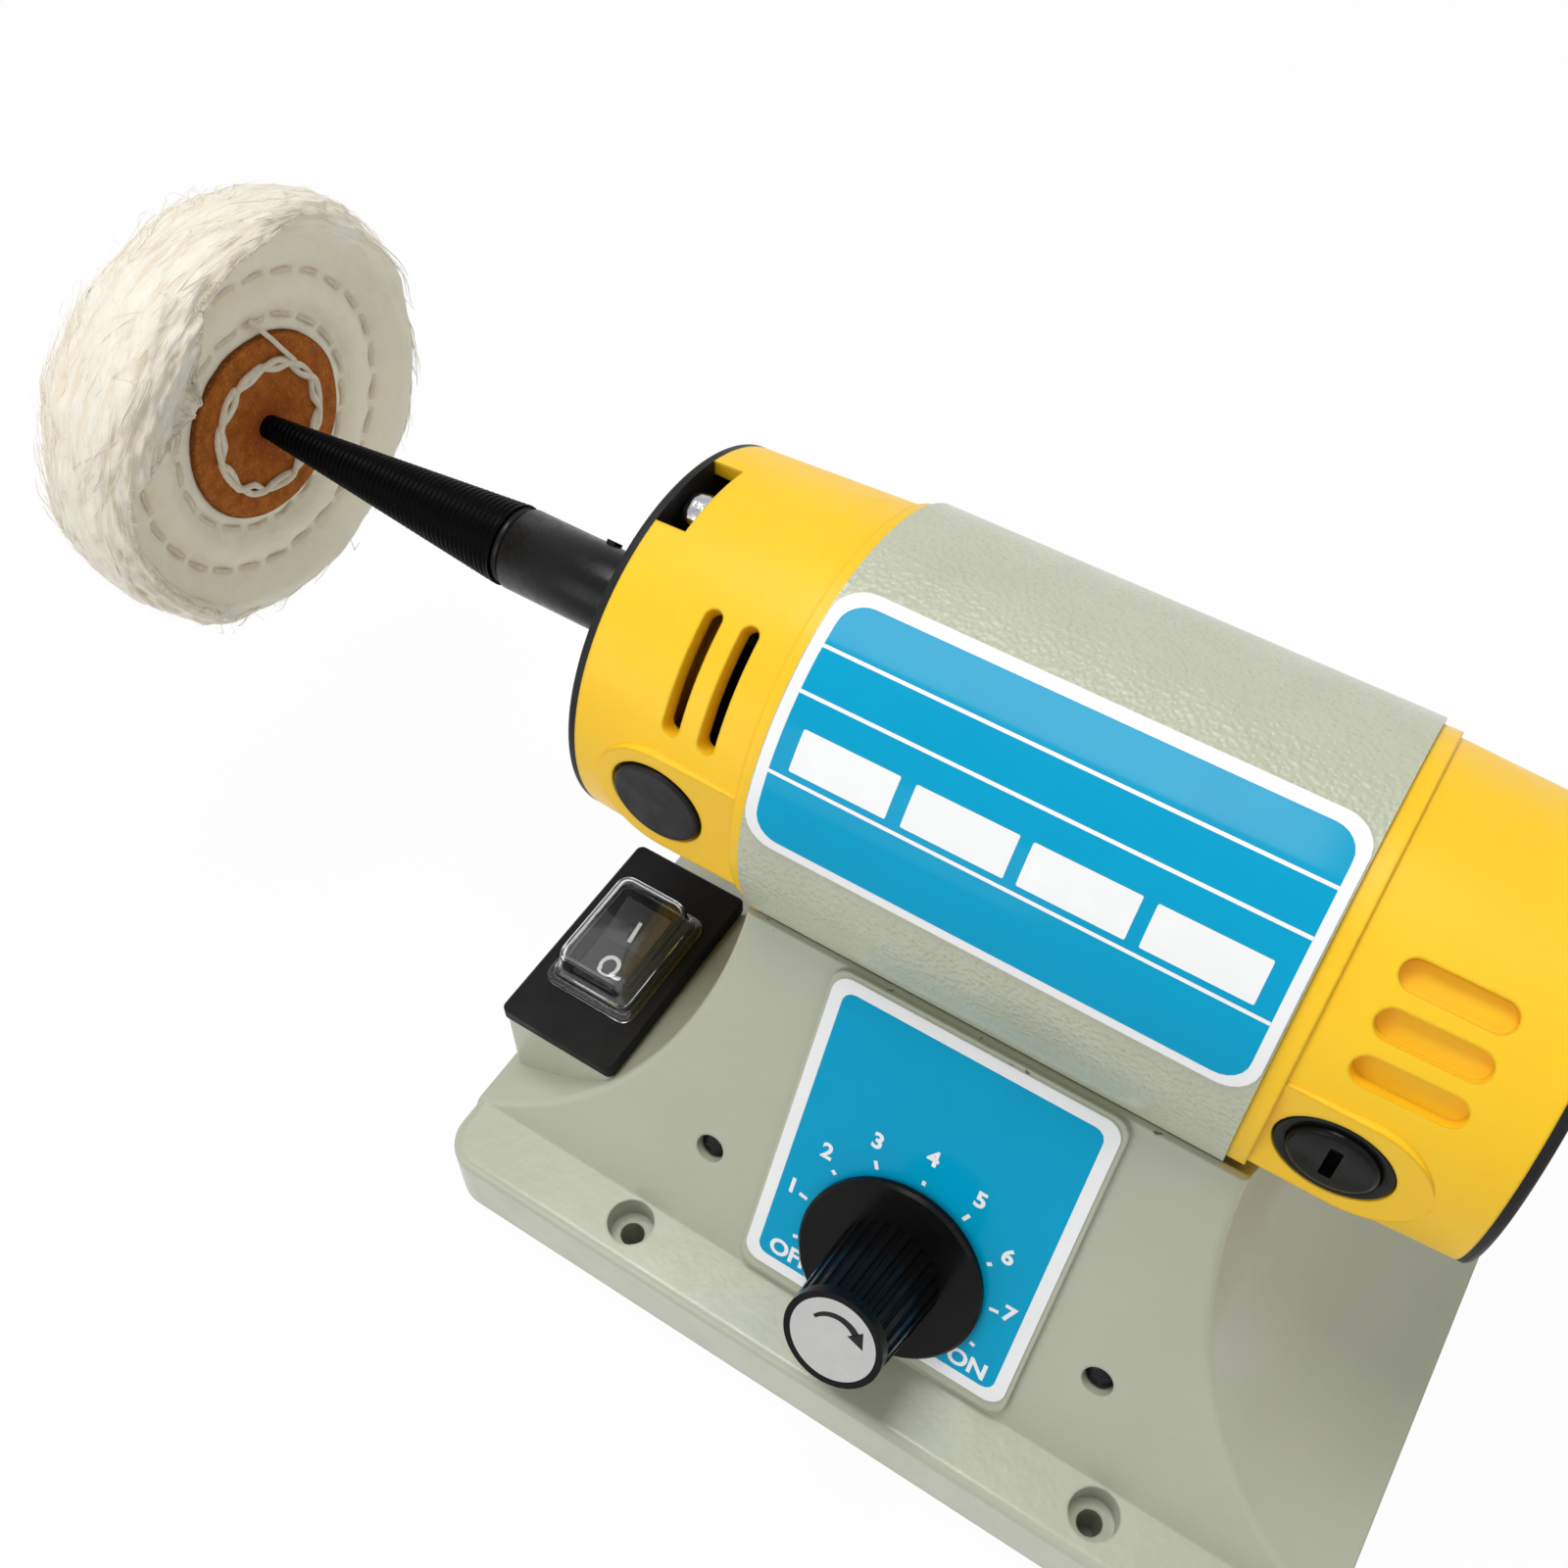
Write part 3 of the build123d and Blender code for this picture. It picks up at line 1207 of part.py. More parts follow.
# Rocker switch in its plate, under a clear boot
switch_centre = Plane((switch_x, switch_y, 0))
switch_cut = Plane((switch_x, switch_y, pivot_height), x_dir=(0, 1, 0), z_dir=(1, 0, 0))
rocker_along = (0, cos(radians(rocker_tilt)), sin(radians(rocker_tilt)))
rocker_cut = Plane((switch_x, switch_y, pivot_height), x_dir=rocker_along, z_dir=(1, 0, 0))
well_width = rocker_width + 2 * rocker_side_gap
well_length = rocker_length + 2 * rocker_sweep_gap
boot_inner_width = boot_dome_width - 2 * boot_wall
boot_inner_length = boot_dome_length - 2 * boot_wall

with BuildPart() as switch_plate:
    with BuildSketch(switch_centre.offset(switch_boss_top)):
        RectangleRounded(switch_plate_width, switch_plate_length, switch_plate_corner_r)
        Rectangle(
            switch_body_width + 2 * slip_gap, switch_body_length + 2 * slip_gap, mode=Mode.SUBTRACT
        )
    extrude(amount=switch_plate_thickness)
    top_edges = switch_plate.edges().group_by(Axis.Z)[-1]
    rim_edges = top_edges.sort_by_distance((switch_x, switch_y, switch_plate_top))[4:]
    chamfer(rim_edges, switch_plate_corner_r / 3)
switch_plate.part.label = "switch_plate"
export_step(switch_plate.part, "parts/switch_plate.step")

with BuildPart() as switch_body:
    with BuildSketch(switch_centre.offset(switch_plate_top)):
        RectangleRounded(switch_bezel_width, switch_bezel_length, switch_plate_corner_r)
    extrude(amount=switch_bezel_height)
    with BuildSketch(switch_centre.offset(switch_plate_top)):
        Rectangle(switch_body_width, switch_body_length)
    extrude(amount=-switch_body_depth)
    with BuildSketch(switch_centre.offset(switch_plate_top + switch_bezel_height)):
        Rectangle(well_width, well_length)
    extrude(amount=-switch_bezel_height - switch_well_depth, mode=Mode.SUBTRACT)
    with BuildSketch(switch_cut):
        Circle(rocker_pin_r + running_gap)
    extrude(amount=rocker_width / 2 + rocker_side_gap + rocker_pin_reach, both=True, mode=Mode.SUBTRACT)
switch_body.part.label = "switch_body"
export_step(switch_body.part, "parts/switch_body.step")

with BuildPart() as switch_terminals:
    with BuildSketch(switch_centre.offset(switch_plate_top - switch_body_depth)):
        with GridLocations(0, terminal_pitch, 1, 2):
            Rectangle(terminal_width, terminal_thickness)
    extrude(amount=-terminal_length)
switch_terminals.part.label = "switch_terminals"
export_step(switch_terminals.part, "parts/switch_terminals.step")

with BuildPart() as rocker:
    with BuildSketch(rocker_cut):
        with BuildLine():
            rocker_rise = rocker_crown + tan(radians(rocker_tilt)) * rocker_length / 2
            Polyline(
                (-rocker_length / 2, -rocker_root),
                (rocker_length / 2, -rocker_root),
                (rocker_length / 2, rocker_rise),
                (0, rocker_crown),
                (-rocker_length / 2, rocker_rise),
                close=True,
            )
        make_face()
    extrude(amount=rocker_width / 2, both=True)
    with BuildSketch(switch_cut):
        Circle(rocker_pin_r)
    extrude(amount=rocker_width / 2 + rocker_side_gap + rocker_pin_reach - running_gap, both=True)
rocker.part.label = "rocker"
export_step(rocker.part, "parts/rocker.step")

with BuildPart() as switch_boot:
    with BuildSketch(switch_centre.offset(switch_plate_top)):
        RectangleRounded(boot_width, boot_length, boot_corner_r)
    extrude(amount=boot_step)
    with BuildSketch(switch_centre.offset(switch_plate_top + boot_step)):
        RectangleRounded(boot_dome_width, boot_dome_length, boot_corner_r)
    extrude(amount=boot_height - boot_step, taper=boot_taper)
    fillet(switch_boot.edges().group_by(Axis.Z)[-1], boot_wall)
    with BuildSketch(switch_centre.offset(switch_plate_top)):
        Rectangle(switch_bezel_width + 2 * slip_gap, switch_bezel_length + 2 * slip_gap)
    extrude(amount=switch_bezel_height + slip_gap, mode=Mode.SUBTRACT)
    with BuildSketch(switch_centre.offset(switch_plate_top)):
        RectangleRounded(boot_inner_width, boot_inner_length, boot_corner_r - boot_wall)
    extrude(amount=boot_step, mode=Mode.SUBTRACT)
    with BuildSketch(switch_centre.offset(switch_plate_top + boot_step)):
        RectangleRounded(boot_inner_width, boot_inner_length, boot_corner_r - boot_wall)
    extrude(amount=boot_height - boot_step - boot_wall, taper=boot_taper, mode=Mode.SUBTRACT)
switch_boot.part.label = "switch_boot"
export_step(switch_boot.part, "parts/switch_boot.step")

# Grommet of the cord entry in the back slope
with BuildPart() as cord_grommet:
    with BuildSketch(back_panel(0, grommet_x, grommet_up_slope)):
        Circle(grommet_flange_r)
    extrude(amount=grommet_flange)
    with BuildSketch(back_panel(0, grommet_x, grommet_up_slope)):
        Circle(grommet_r - slip_gap)
    extrude(amount=-casting_wall)
    with BuildSketch(back_panel(grommet_flange, grommet_x, grommet_up_slope)):
        Circle(grommet_bore_r)
    extrude(amount=-grommet_bore_depth, mode=Mode.SUBTRACT)
cord_grommet.part.label = "cord_grommet"
export_step(cord_grommet.part, "parts/cord_grommet.step")
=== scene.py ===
"""Looks of the bench buffer: finishes for the CAD solids, and its soft, printed and fine pieces."""

import math
import random

import bpy
from mathutils import Matrix, Vector, noise


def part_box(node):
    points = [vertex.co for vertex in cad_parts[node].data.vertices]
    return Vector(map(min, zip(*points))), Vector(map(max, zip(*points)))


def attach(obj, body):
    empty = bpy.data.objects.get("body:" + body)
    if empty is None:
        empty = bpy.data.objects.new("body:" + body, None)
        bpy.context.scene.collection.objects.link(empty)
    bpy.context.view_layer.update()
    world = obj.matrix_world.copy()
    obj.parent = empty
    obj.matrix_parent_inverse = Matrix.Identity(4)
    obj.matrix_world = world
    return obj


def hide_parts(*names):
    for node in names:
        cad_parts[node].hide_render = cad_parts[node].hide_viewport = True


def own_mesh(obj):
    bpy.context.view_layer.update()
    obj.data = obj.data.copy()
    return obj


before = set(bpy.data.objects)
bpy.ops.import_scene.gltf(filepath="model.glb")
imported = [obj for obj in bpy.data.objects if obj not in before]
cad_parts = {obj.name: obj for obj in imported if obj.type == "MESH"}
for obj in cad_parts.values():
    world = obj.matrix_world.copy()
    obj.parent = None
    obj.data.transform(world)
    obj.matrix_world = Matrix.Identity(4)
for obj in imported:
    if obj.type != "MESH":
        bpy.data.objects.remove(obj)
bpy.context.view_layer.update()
rng = random.Random(7)

MM = 0.001

# Sizes repeated from the part, in millimetres
AXIS_HEIGHT = 101.0
BARREL_MID = -1.6
LABEL_R = 40.45  # outside of the rating label
COLLAR_START, COLLAR_END, COLLAR_R = -85.5, -123.5, 8.3
GROOVE_R = 7.4
TAPER_START, TAPER_END = -125.1, -203.0
TAPER_BIG_R, TAPER_TIP_R = 8.45, 1.4
SHAFT_NOSE, SHAFT_R = -115.5, 5.97
BUFF_MID, BUFF_HALF = -198.0, 8.5
LEATHER_R, LEATHER_THICKNESS = 20.3, 2.0
BASE_LENGTH, BASE_DEPTH = 186.0, 165.0
SLOPE_FOOT, FLANGE_HEIGHT, SLOPE_ANGLE = 69.0, 16.5, math.radians(62.0)
LABEL_FACE, KNOB_UP_SLOPE, KNOB_TOP = 1.6, 20.2, 25.9
LABEL_LOW, LABEL_HIGH, LABEL_WIDTH = 4.1, 70.7, 55.7
SWITCH_X, SWITCH_Y, PLATE_TOP, PIVOT_HEIGHT = -78.6, -34.5, 39.0, 39.6
ROCKER_TILT = math.radians(8.0)
PANEL_SCREW_X, PANEL_SCREW_SINK = 41.1, 2.6
BRUSH_TRAVEL, SPRING_TURNS, SPRING_WIRE_R = 4.0, 4, 0.35
SPRING_STEPS = 24  # points to each turn of a spring


class Shape:
    """Collects points in millimetres and faces, and turns them into one object that rides on a body."""

    def __init__(self):
        self.points, self.faces = [], []

    def add(self, points, faces):
        first = len(self.points)
        self.points.extend(Vector(p) for p in points)
        self.faces.extend([first + i for i in face] for face in faces)

    def grid(self, rows, wrap=False, caps=False):
        """Rows of points joined by quads; wrap closes each row on itself, caps fills the first and last."""
        width = len(rows[0])
        last = width if wrap else width - 1
        faces = []
        for i in range(len(rows) - 1):
            for j in range(last):
                k = (j + 1) % width
                faces.append((i * width + j, i * width + k, (i + 1) * width + k, (i + 1) * width + j))
        if caps:
            faces.append(tuple(reversed(range(width))))
            faces.append(tuple((len(rows) - 1) * width + j for j in range(width)))
        self.add([p for row in rows for p in row], faces)

    def tube(self, path, radius, sides=6, closed=False):
        """A round cord along a path; radius is a number or a function of the share along it."""
        path = [Vector(p) for p in path]
        count = len(path)
        rows = []
        side = None
        for i, p in enumerate(path):
            after = path[(i + 1) % count] if closed or i < count - 1 else p
            before = path[i - 1] if closed or i > 0 else p
            along = (after - before).normalized()
            if side is None:
                side = along.orthogonal().normalized()
            side = (side - along * side.dot(along)).normalized()
            up = along.cross(side)
            r = radius(i / (count - 1)) if callable(radius) else radius
            turn = [2 * math.pi * j / sides for j in range(sides)]
            rows.append([p + (side * math.cos(a) + up * math.sin(a)) * r for a in turn])
        if closed:
            rows.append(rows[0])
        self.grid(rows, wrap=True, caps=not closed)

    def build(self, name, body, material, slot, smooth=True):
        mesh = bpy.data.meshes.new(name)
        mesh.from_pydata([p * MM for p in self.points], [], self.faces)
        mesh.validate()
        mesh.update()
        mesh.polygons.foreach_set("use_smooth", [smooth] * len(mesh.polygons))
        obj = bpy.data.objects.new(name, mesh)
        bpy.context.scene.collection.objects.link(obj)
        mesh.materials.append(material)
        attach(obj, body)
        return obj


def around(x, r, turn):
    """Point at a station and radius on the motor axis; turn is the angle above the front horizontal."""
    return Vector((x, -r * math.cos(turn), AXIS_HEIGHT + r * math.sin(turn)))


def on_panel(x, up_slope, rise):
    """Point on the front slope."""
    c, s = math.cos(SLOPE_ANGLE), math.sin(SLOPE_ANGLE)
    return Vector((x, -SLOPE_FOOT + up_slope * c - rise * s, FLANGE_HEIGHT + up_slope * s + rise * c))


def on_rocker(x, along, rise):
    """Point on the rocker in its rest tilt, from its pivot."""
    c, s = math.cos(ROCKER_TILT), math.sin(ROCKER_TILT)
    return Vector((SWITCH_X + x, SWITCH_Y + along * c - rise * s, PIVOT_HEIGHT + along * s + rise * c))


def ring_turns(sides):
    """Angles round a full circle."""
    return [2 * math.pi * j / sides for j in range(sides)]


def smoothstep(low, high, value):
    t = min(max((value - low) / (high - low), 0.0), 1.0)
    return t * t * (3 - 2 * t)


def between(table, value):
    """Straight-line values between the rows of a table whose first column rises."""
    if value <= table[0][0]:
        return table[0][1:]
    for low, high in zip(table, table[1:]):
        if value <= high[0]:
            t = (value - low[0]) / (high[0] - low[0])
            return tuple(a + (b - a) * t for a, b in zip(low[1:], high[1:]))
    return table[-1][1:]


def spline(points, count):
    """Smooth run of points through control points."""
    points = [Vector(p) for p in points]
    points = [2 * points[0] - points[1]] + points + [2 * points[-1] - points[-2]]
    out = []
    spans = len(points) - 3
    for i in range(count):
        place = i / (count - 1) * spans
        k = min(int(place), spans - 1)
        t = place - k
        a, b, c, d = points[k:k + 4]
        out.append(0.5 * (2 * b + (c - a) * t + (2 * a - 5 * b + 4 * c - d) * t * t
                          + (3 * b - a - 3 * c + d) * t ** 3))
    return out


def rounded_rows(width, height, corner, rows=28):
    """Heights and half widths of a rounded rectangle, closer together towards both ends."""
    ends = []
    for i in range(rows):
        y = -height / 2 * math.cos(math.pi * i / (rows - 1))
        depth = max(corner - (height / 2 - abs(y)), 0.0)
        inset = corner - math.sqrt(max(corner * corner - depth * depth, 0.0))
        ends.append((y, width / 2 - inset))
    return ends


def lettering(text, size, weight):
    """Flat mesh of plain lettering in millimetres, centred, as points and faces."""
    curve = bpy.data.curves.new("lettering", "FONT")
    curve.body = text
    curve.size = size
    curve.offset = weight
    curve.align_x = "CENTER"
    curve.align_y = "CENTER"
    curve.resolution_u = 4
    obj = bpy.data.objects.new("lettering", curve)
    bpy.context.scene.collection.objects.link(obj)
    mesh = bpy.data.meshes.new_from_object(obj.evaluated_get(bpy.context.evaluated_depsgraph_get()))
    points = [v.co.copy() for v in mesh.vertices]
    faces = [tuple(p.vertices) for p in mesh.polygons]
    bpy.data.objects.remove(obj)
    bpy.data.curves.remove(curve)
    bpy.data.meshes.remove(mesh)
    return points, faces


def linear(colour):
    """Linear colour from a screen colour in 0 to 255."""
    def one(v):
        v /= 255
        return v / 12.92 if v <= 0.04045 else ((v + 0.055) / 1.055) ** 2.4
    return tuple(one(v) for v in colour) + (1.0,)


class Finish:
    """A principled material, with short calls for the textures that vary it. Sizes are in millimetres."""

    def __init__(self, name, colour, rough, **sockets):
        self.material = bpy.data.materials.new(name)
        self.material.use_nodes = True
        self.tree = self.material.node_tree
        self.shader = self.tree.nodes["Principled BSDF"]
        self.colour, self.rough = linear(colour), rough
        self.shader.inputs["Roughness"].default_value = rough
        for key, value in sockets.items():
            self.shader.inputs[key.replace("_", " ")].default_value = value
        self.where = self.tree.nodes.new("ShaderNodeTexCoord").outputs["Object"]
        self.normal = None

    def soften(self, radius):
        """Rounds sharp edges in the shading."""
        node = self.tree.nodes.new("ShaderNodeBevel")
        node.inputs["Radius"].default_value = radius * MM
        self.normal = node.outputs["Normal"]

    def put(self, value, socket):
        if isinstance(value, bpy.types.NodeSocket):
            self.tree.links.new(value, socket)
        else:
            socket.default_value = value

    def math(self, operation, *values):
        node = self.tree.nodes.new("ShaderNodeMath")
        node.operation = operation
        for value, socket in zip(values, node.inputs):
            self.put(value, socket)
        return node.outputs[0]

    def noise(self, size, detail=3.0, where=None, distortion=0.0):
        node = self.tree.nodes.new("ShaderNodeTexNoise")
        node.inputs["Detail"].default_value = detail
        node.inputs["Distortion"].default_value = distortion
        node.inputs["Scale"].default_value = 1 / (size * MM)
        self.put(where or self.where, node.inputs["Vector"])
        return node.outputs["Fac"]

    def cells(self, size):
        node = self.tree.nodes.new("ShaderNodeTexVoronoi")
        node.feature = "SMOOTH_F1"
        node.inputs["Scale"].default_value = 1 / (size * MM)
        self.put(self.where, node.inputs["Vector"])
        return node.outputs["Distance"]

    def ranged(self, value, low, high, to_low=0.0, to_high=1.0):
        node = self.tree.nodes.new("ShaderNodeMapRange")
        for key, number in (("From Min", low), ("From Max", high), ("To Min", to_low), ("To Max", to_high)):
            node.inputs[key].default_value = number
        self.put(value, node.inputs["Value"])
        return node.outputs["Result"]

    def tint(self, factor, colour):
        """Lays a second colour over what is there, by a factor."""
        node = self.tree.nodes.new("ShaderNodeMix")
        node.data_type = "RGBA"
        self.put(factor, node.inputs["Factor"])
        self.put(self.colour, node.inputs["A"])
        node.inputs["B"].default_value = linear(colour)
        self.colour = node.outputs["Result"]

    def bump(self, height, distance):
        node = self.tree.nodes.new("ShaderNodeBump")
        node.inputs["Distance"].default_value = distance * MM
        self.put(height, node.inputs["Height"])
        if self.normal:
            self.put(self.normal, node.inputs["Normal"])
        self.normal = node.outputs["Normal"]

    def patches(self, size, swing):
        self.put(self.ranged(self.noise(size, 4.0), 0.3, 0.7, self.rough - swing, self.rough + swing),
                 self.shader.inputs["Roughness"])

    def mottle(self, size, colour, contrast=2.0):
        self.tint(self.ranged(self.noise(size, 5.0), 0.5 - 0.5 / contrast, 0.5 + 0.5 / contrast), colour)

    def axes(self):
        """Coordinate sockets x, y and z."""
        node = self.tree.nodes.new("ShaderNodeSeparateXYZ")
        self.put(self.where, node.inputs[0])
        return node.outputs

    def polar(self):
        """Radius from the motor axis, and turn round it."""
        _, y, z = self.axes()
        z = self.math("SUBTRACT", z, AXIS_HEIGHT * MM)
        radius = self.math("SQRT", self.math("ADD", self.math("MULTIPLY", y, y), self.math("MULTIPLY", z, z)))
        return radius, self.math("ARCTAN2", z, self.math("MULTIPLY", y, -1.0))

    def vector(self, x, y, z):
        node = self.tree.nodes.new("ShaderNodeCombineXYZ")
        for value, socket in zip((x, y, z), node.inputs):
            self.put(value, socket)
        return node.outputs[0]

    def squeeze(self, scale):
        """Stretches the textures that follow, by axis."""
        node = self.tree.nodes.new("ShaderNodeMapping")
        node.inputs["Scale"].default_value = scale
        self.put(self.where, node.inputs["Vector"])
        self.where = node.outputs["Vector"]

    def done(self):
        self.put(self.colour, self.shader.inputs["Base Color"])
        if self.normal:
            self.put(self.normal, self.shader.inputs["Normal"])
        return self.material


WEAR_FADE, CHIP_EDGE = 0.4, 0.03  # how softly a worn band ends, and the chips in it


def surface(name, colour, rough, mottle=None, patches=None, grain=(), squeeze=None, wear=None, edge=None,
            **sockets):
    """A plain finish.

    mottle: (size, second colour); patches: (size, swing) of roughness; grain: (size, height, kind) bumps;
    wear: (lowest z, highest z, size, colour, threshold) of chips; squeeze stretches the textures by axis;
    edge: radius of worn edges.
    """
    f = Finish(name, colour, rough, **sockets)
    if edge:
        f.soften(edge)
    if wear:
        low, high, size, chip, threshold = wear
        z = f.axes()[2]
        band = f.math("MULTIPLY", f.ranged(z, low * MM, (low + WEAR_FADE) * MM),
                      f.ranged(z, (high - WEAR_FADE) * MM, high * MM, 1, 0))
        chips = f.ranged(f.noise(size, 4.0), threshold, threshold + CHIP_EDGE)
    if squeeze:
        f.squeeze(squeeze)
    if mottle:
        f.mottle(*mottle)
    if wear:
        f.tint(f.math("MULTIPLY", band, chips), chip)
    if patches:
        f.patches(*patches)
    for size, height, kind in grain:
        f.bump(f.cells(size) if kind == "cells" else f.noise(size), height)
    return f.done()


# Chips of paint along the seam of the barrel and the base
SEAM_CHIPS = (78.6, 80.4, 1.8, (104, 100, 84), 0.66)

base_paint = surface("base_paint", (178, 182, 161), 0.36, mottle=(30, (171, 175, 154)), patches=(9, 0.07),
                     wear=SEAM_CHIPS, grain=((1.3, 0.05, "noise"), (5, 0.12, "noise")), edge=0.8,
                     Coat_Weight=0.3, Coat_Roughness=0.15)
barrel_paint = surface("barrel_paint", (188, 192, 168), 0.33, mottle=(14, (180, 184, 160)), patches=(7, 0.06),
                       wear=SEAM_CHIPS, grain=((0.9, 0.36, "cells"), (0.36, 0.07, "noise")),
                       Coat_Weight=0.3, Coat_Roughness=0.15)
yellow_plastic = surface("yellow_plastic", (252, 204, 32), 0.40, mottle=(22, (249, 197, 26)),
                         patches=(6, 0.06), grain=((0.8, 0.02, "noise"), (6, 0.10, "noise")), edge=0.9,
                         Subsurface_Weight=0.12, Subsurface_Radius=(0.004, 0.0025, 0.0008),
                         Subsurface_Scale=0.3, Specular_IOR_Level=0.35)
black_plastic = surface("black_plastic", (20, 20, 21), 0.45, mottle=(5, (27, 27, 28)), patches=(4, 0.08),
                        grain=((0.45, 0.014, "noise"),), Specular_IOR_Level=0.2)
switch_plastic = surface("switch_plastic", (17, 17, 18), 0.5, mottle=(6, (23, 23, 23)), patches=(4, 0.08),
                         grain=((0.5, 0.012, "noise"),), Specular_IOR_Level=0.12)
gloss_black = surface("gloss_black", (13, 13, 14), 0.2, mottle=(6, (19, 19, 20)), patches=(5, 0.06),
                      grain=((1.2, 0.008, "noise"),), Specular_IOR_Level=0.1)
# Rocker: painted light, lighter than the other black plastics to stand in for the light the clear boot lets
# onto it
rocker_plastic = surface("rocker_plastic", (52, 52, 54), 0.38, mottle=(4, (59, 59, 60)), patches=(3, 0.06),
                         grain=((0.5, 0.006, "noise"),), Specular_IOR_Level=0.2)
black_oxide = surface("black_oxide", (10, 10, 11), 0.3, mottle=(3, (7, 7, 8)), patches=(2.4, 0.08),
                      grain=((0.35, 0.01, "noise"),), squeeze=(2.5, 1, 1), Specular_IOR_Level=0.2)
thread_oxide = surface("thread_oxide", (7, 7, 8), 0.3, mottle=(3, (5, 5, 6)), patches=(2.4, 0.08),
                       grain=((0.35, 0.01, "noise"),), Specular_IOR_Level=0.03)
fluff = surface("fluff", (246, 241, 227), 1.0, mottle=(9, (238, 229, 208)), Specular_IOR_Level=0.0)
bright_steel = surface("bright_steel", (196, 197, 199), 0.3, mottle=(3, (176, 177, 180)), patches=(2, 0.08),
                       grain=((0.25, 0.004, "noise"),), Metallic=1.0)
dull_steel = surface("dull_steel", (150, 152, 152), 0.45, mottle=(18, (136, 138, 138)), patches=(6, 0.1),
                     grain=((0.3, 0.006, "noise"),), Metallic=0.9)
core_steel = surface("core_steel", (110, 111, 114), 0.5, mottle=(0.5, (88, 89, 92)), patches=(2, 0.08),
                     squeeze=(1, 0.05, 0.05), Metallic=0.9)
chrome = surface("chrome", (206, 206, 208), 0.16, mottle=(1.6, (150, 150, 154)), patches=(1.5, 0.05),
                 grain=((0.9, 0.10, "noise"),), Metallic=1.0)
copper = surface("copper", (186, 112, 66), 0.38, mottle=(0.6, (160, 92, 52)), patches=(2, 0.08),
                 grain=((0.5, 0.05, "noise"),), squeeze=(0.15, 1, 1), Metallic=0.8)
brass = surface("brass", (206, 170, 98), 0.32, mottle=(3, (190, 154, 84)), patches=(2, 0.08), Metallic=1.0)
carbon = surface("carbon", (36, 36, 37), 0.6, mottle=(1, (48, 48, 49)), grain=((0.3, 0.01, "noise"),))
label_white = surface("label_white", (242, 243, 243), 0.3, mottle=(12, (237, 239, 240)), patches=(10, 0.05),
                      grain=((6, 0.012, "noise"),), Specular_IOR_Level=0.35)
label_blue = surface("label_blue", (0, 160, 203), 0.2, mottle=(14, (0, 155, 198)), patches=(10, 0.05),
                     grain=((6, 0.012, "noise"),), Specular_IOR_Level=0.04, Coat_Weight=0.12,
                     Coat_Roughness=0.08)
print_white = surface("print_white", (242, 243, 243), 0.35, mottle=(5, (237, 239, 240)), patches=(4, 0.05))
print_black = surface("print_black", (18, 18, 18), 0.45, mottle=(2, (28, 28, 28)), patches=(2, 0.06),
                      Specular_IOR_Level=0.2)
disc_white = surface("disc_white", (194, 195, 193), 0.42, mottle=(4, (185, 186, 184)), patches=(3, 0.08),
                     grain=((0.5, 0.006, "noise"),))
board_green = surface("board_green", (42, 98, 60), 0.4, mottle=(6, (34, 86, 52)), patches=(4, 0.08))
aluminium = surface("aluminium", (204, 205, 207), 0.36, mottle=(4, (190, 191, 194)), patches=(3, 0.08),
                    grain=((0.3, 0.005, "noise"),), Metallic=1.0)
rubber = surface("rubber", (28, 28, 28), 0.68, mottle=(3, (38, 38, 37)), patches=(3, 0.08),
                 grain=((0.4, 0.012, "noise"),))
clear_vinyl = surface("clear_vinyl", (244, 246, 245), 0.05, mottle=(8, (238, 240, 239)), patches=(6, 0.03),
                      grain=((5, 0.05, "noise"),), Transmission_Weight=1.0, IOR=1.5)
thread = surface("thread", (234, 224, 206), 0.9, mottle=(1.2, (216, 203, 179)),
                 grain=((0.35, 0.14, "noise"),), Specular_IOR_Level=0.2)

# Stitch rings of the buff, and where its woven faces turn into fringe
STITCH_RINGS = (23.2, 32.6)
STITCH_PITCH, STITCH_LENGTH, STITCH_R = 7.8, 6.2, 0.5
CREASE_SHADE_HALF, CREASE_SHADE_END = 0.4, 1.1  # full and faded painted shade beside a stitch, in its crease
FRAY_START, FRAY_END = 37, 43  # radii
FACE_X, FOLD_X = -188.6, -186.6  # near face, and where the folded fringe stands clear of it


def stitch_count(ring):
    return round(2 * math.pi * ring / STITCH_PITCH)


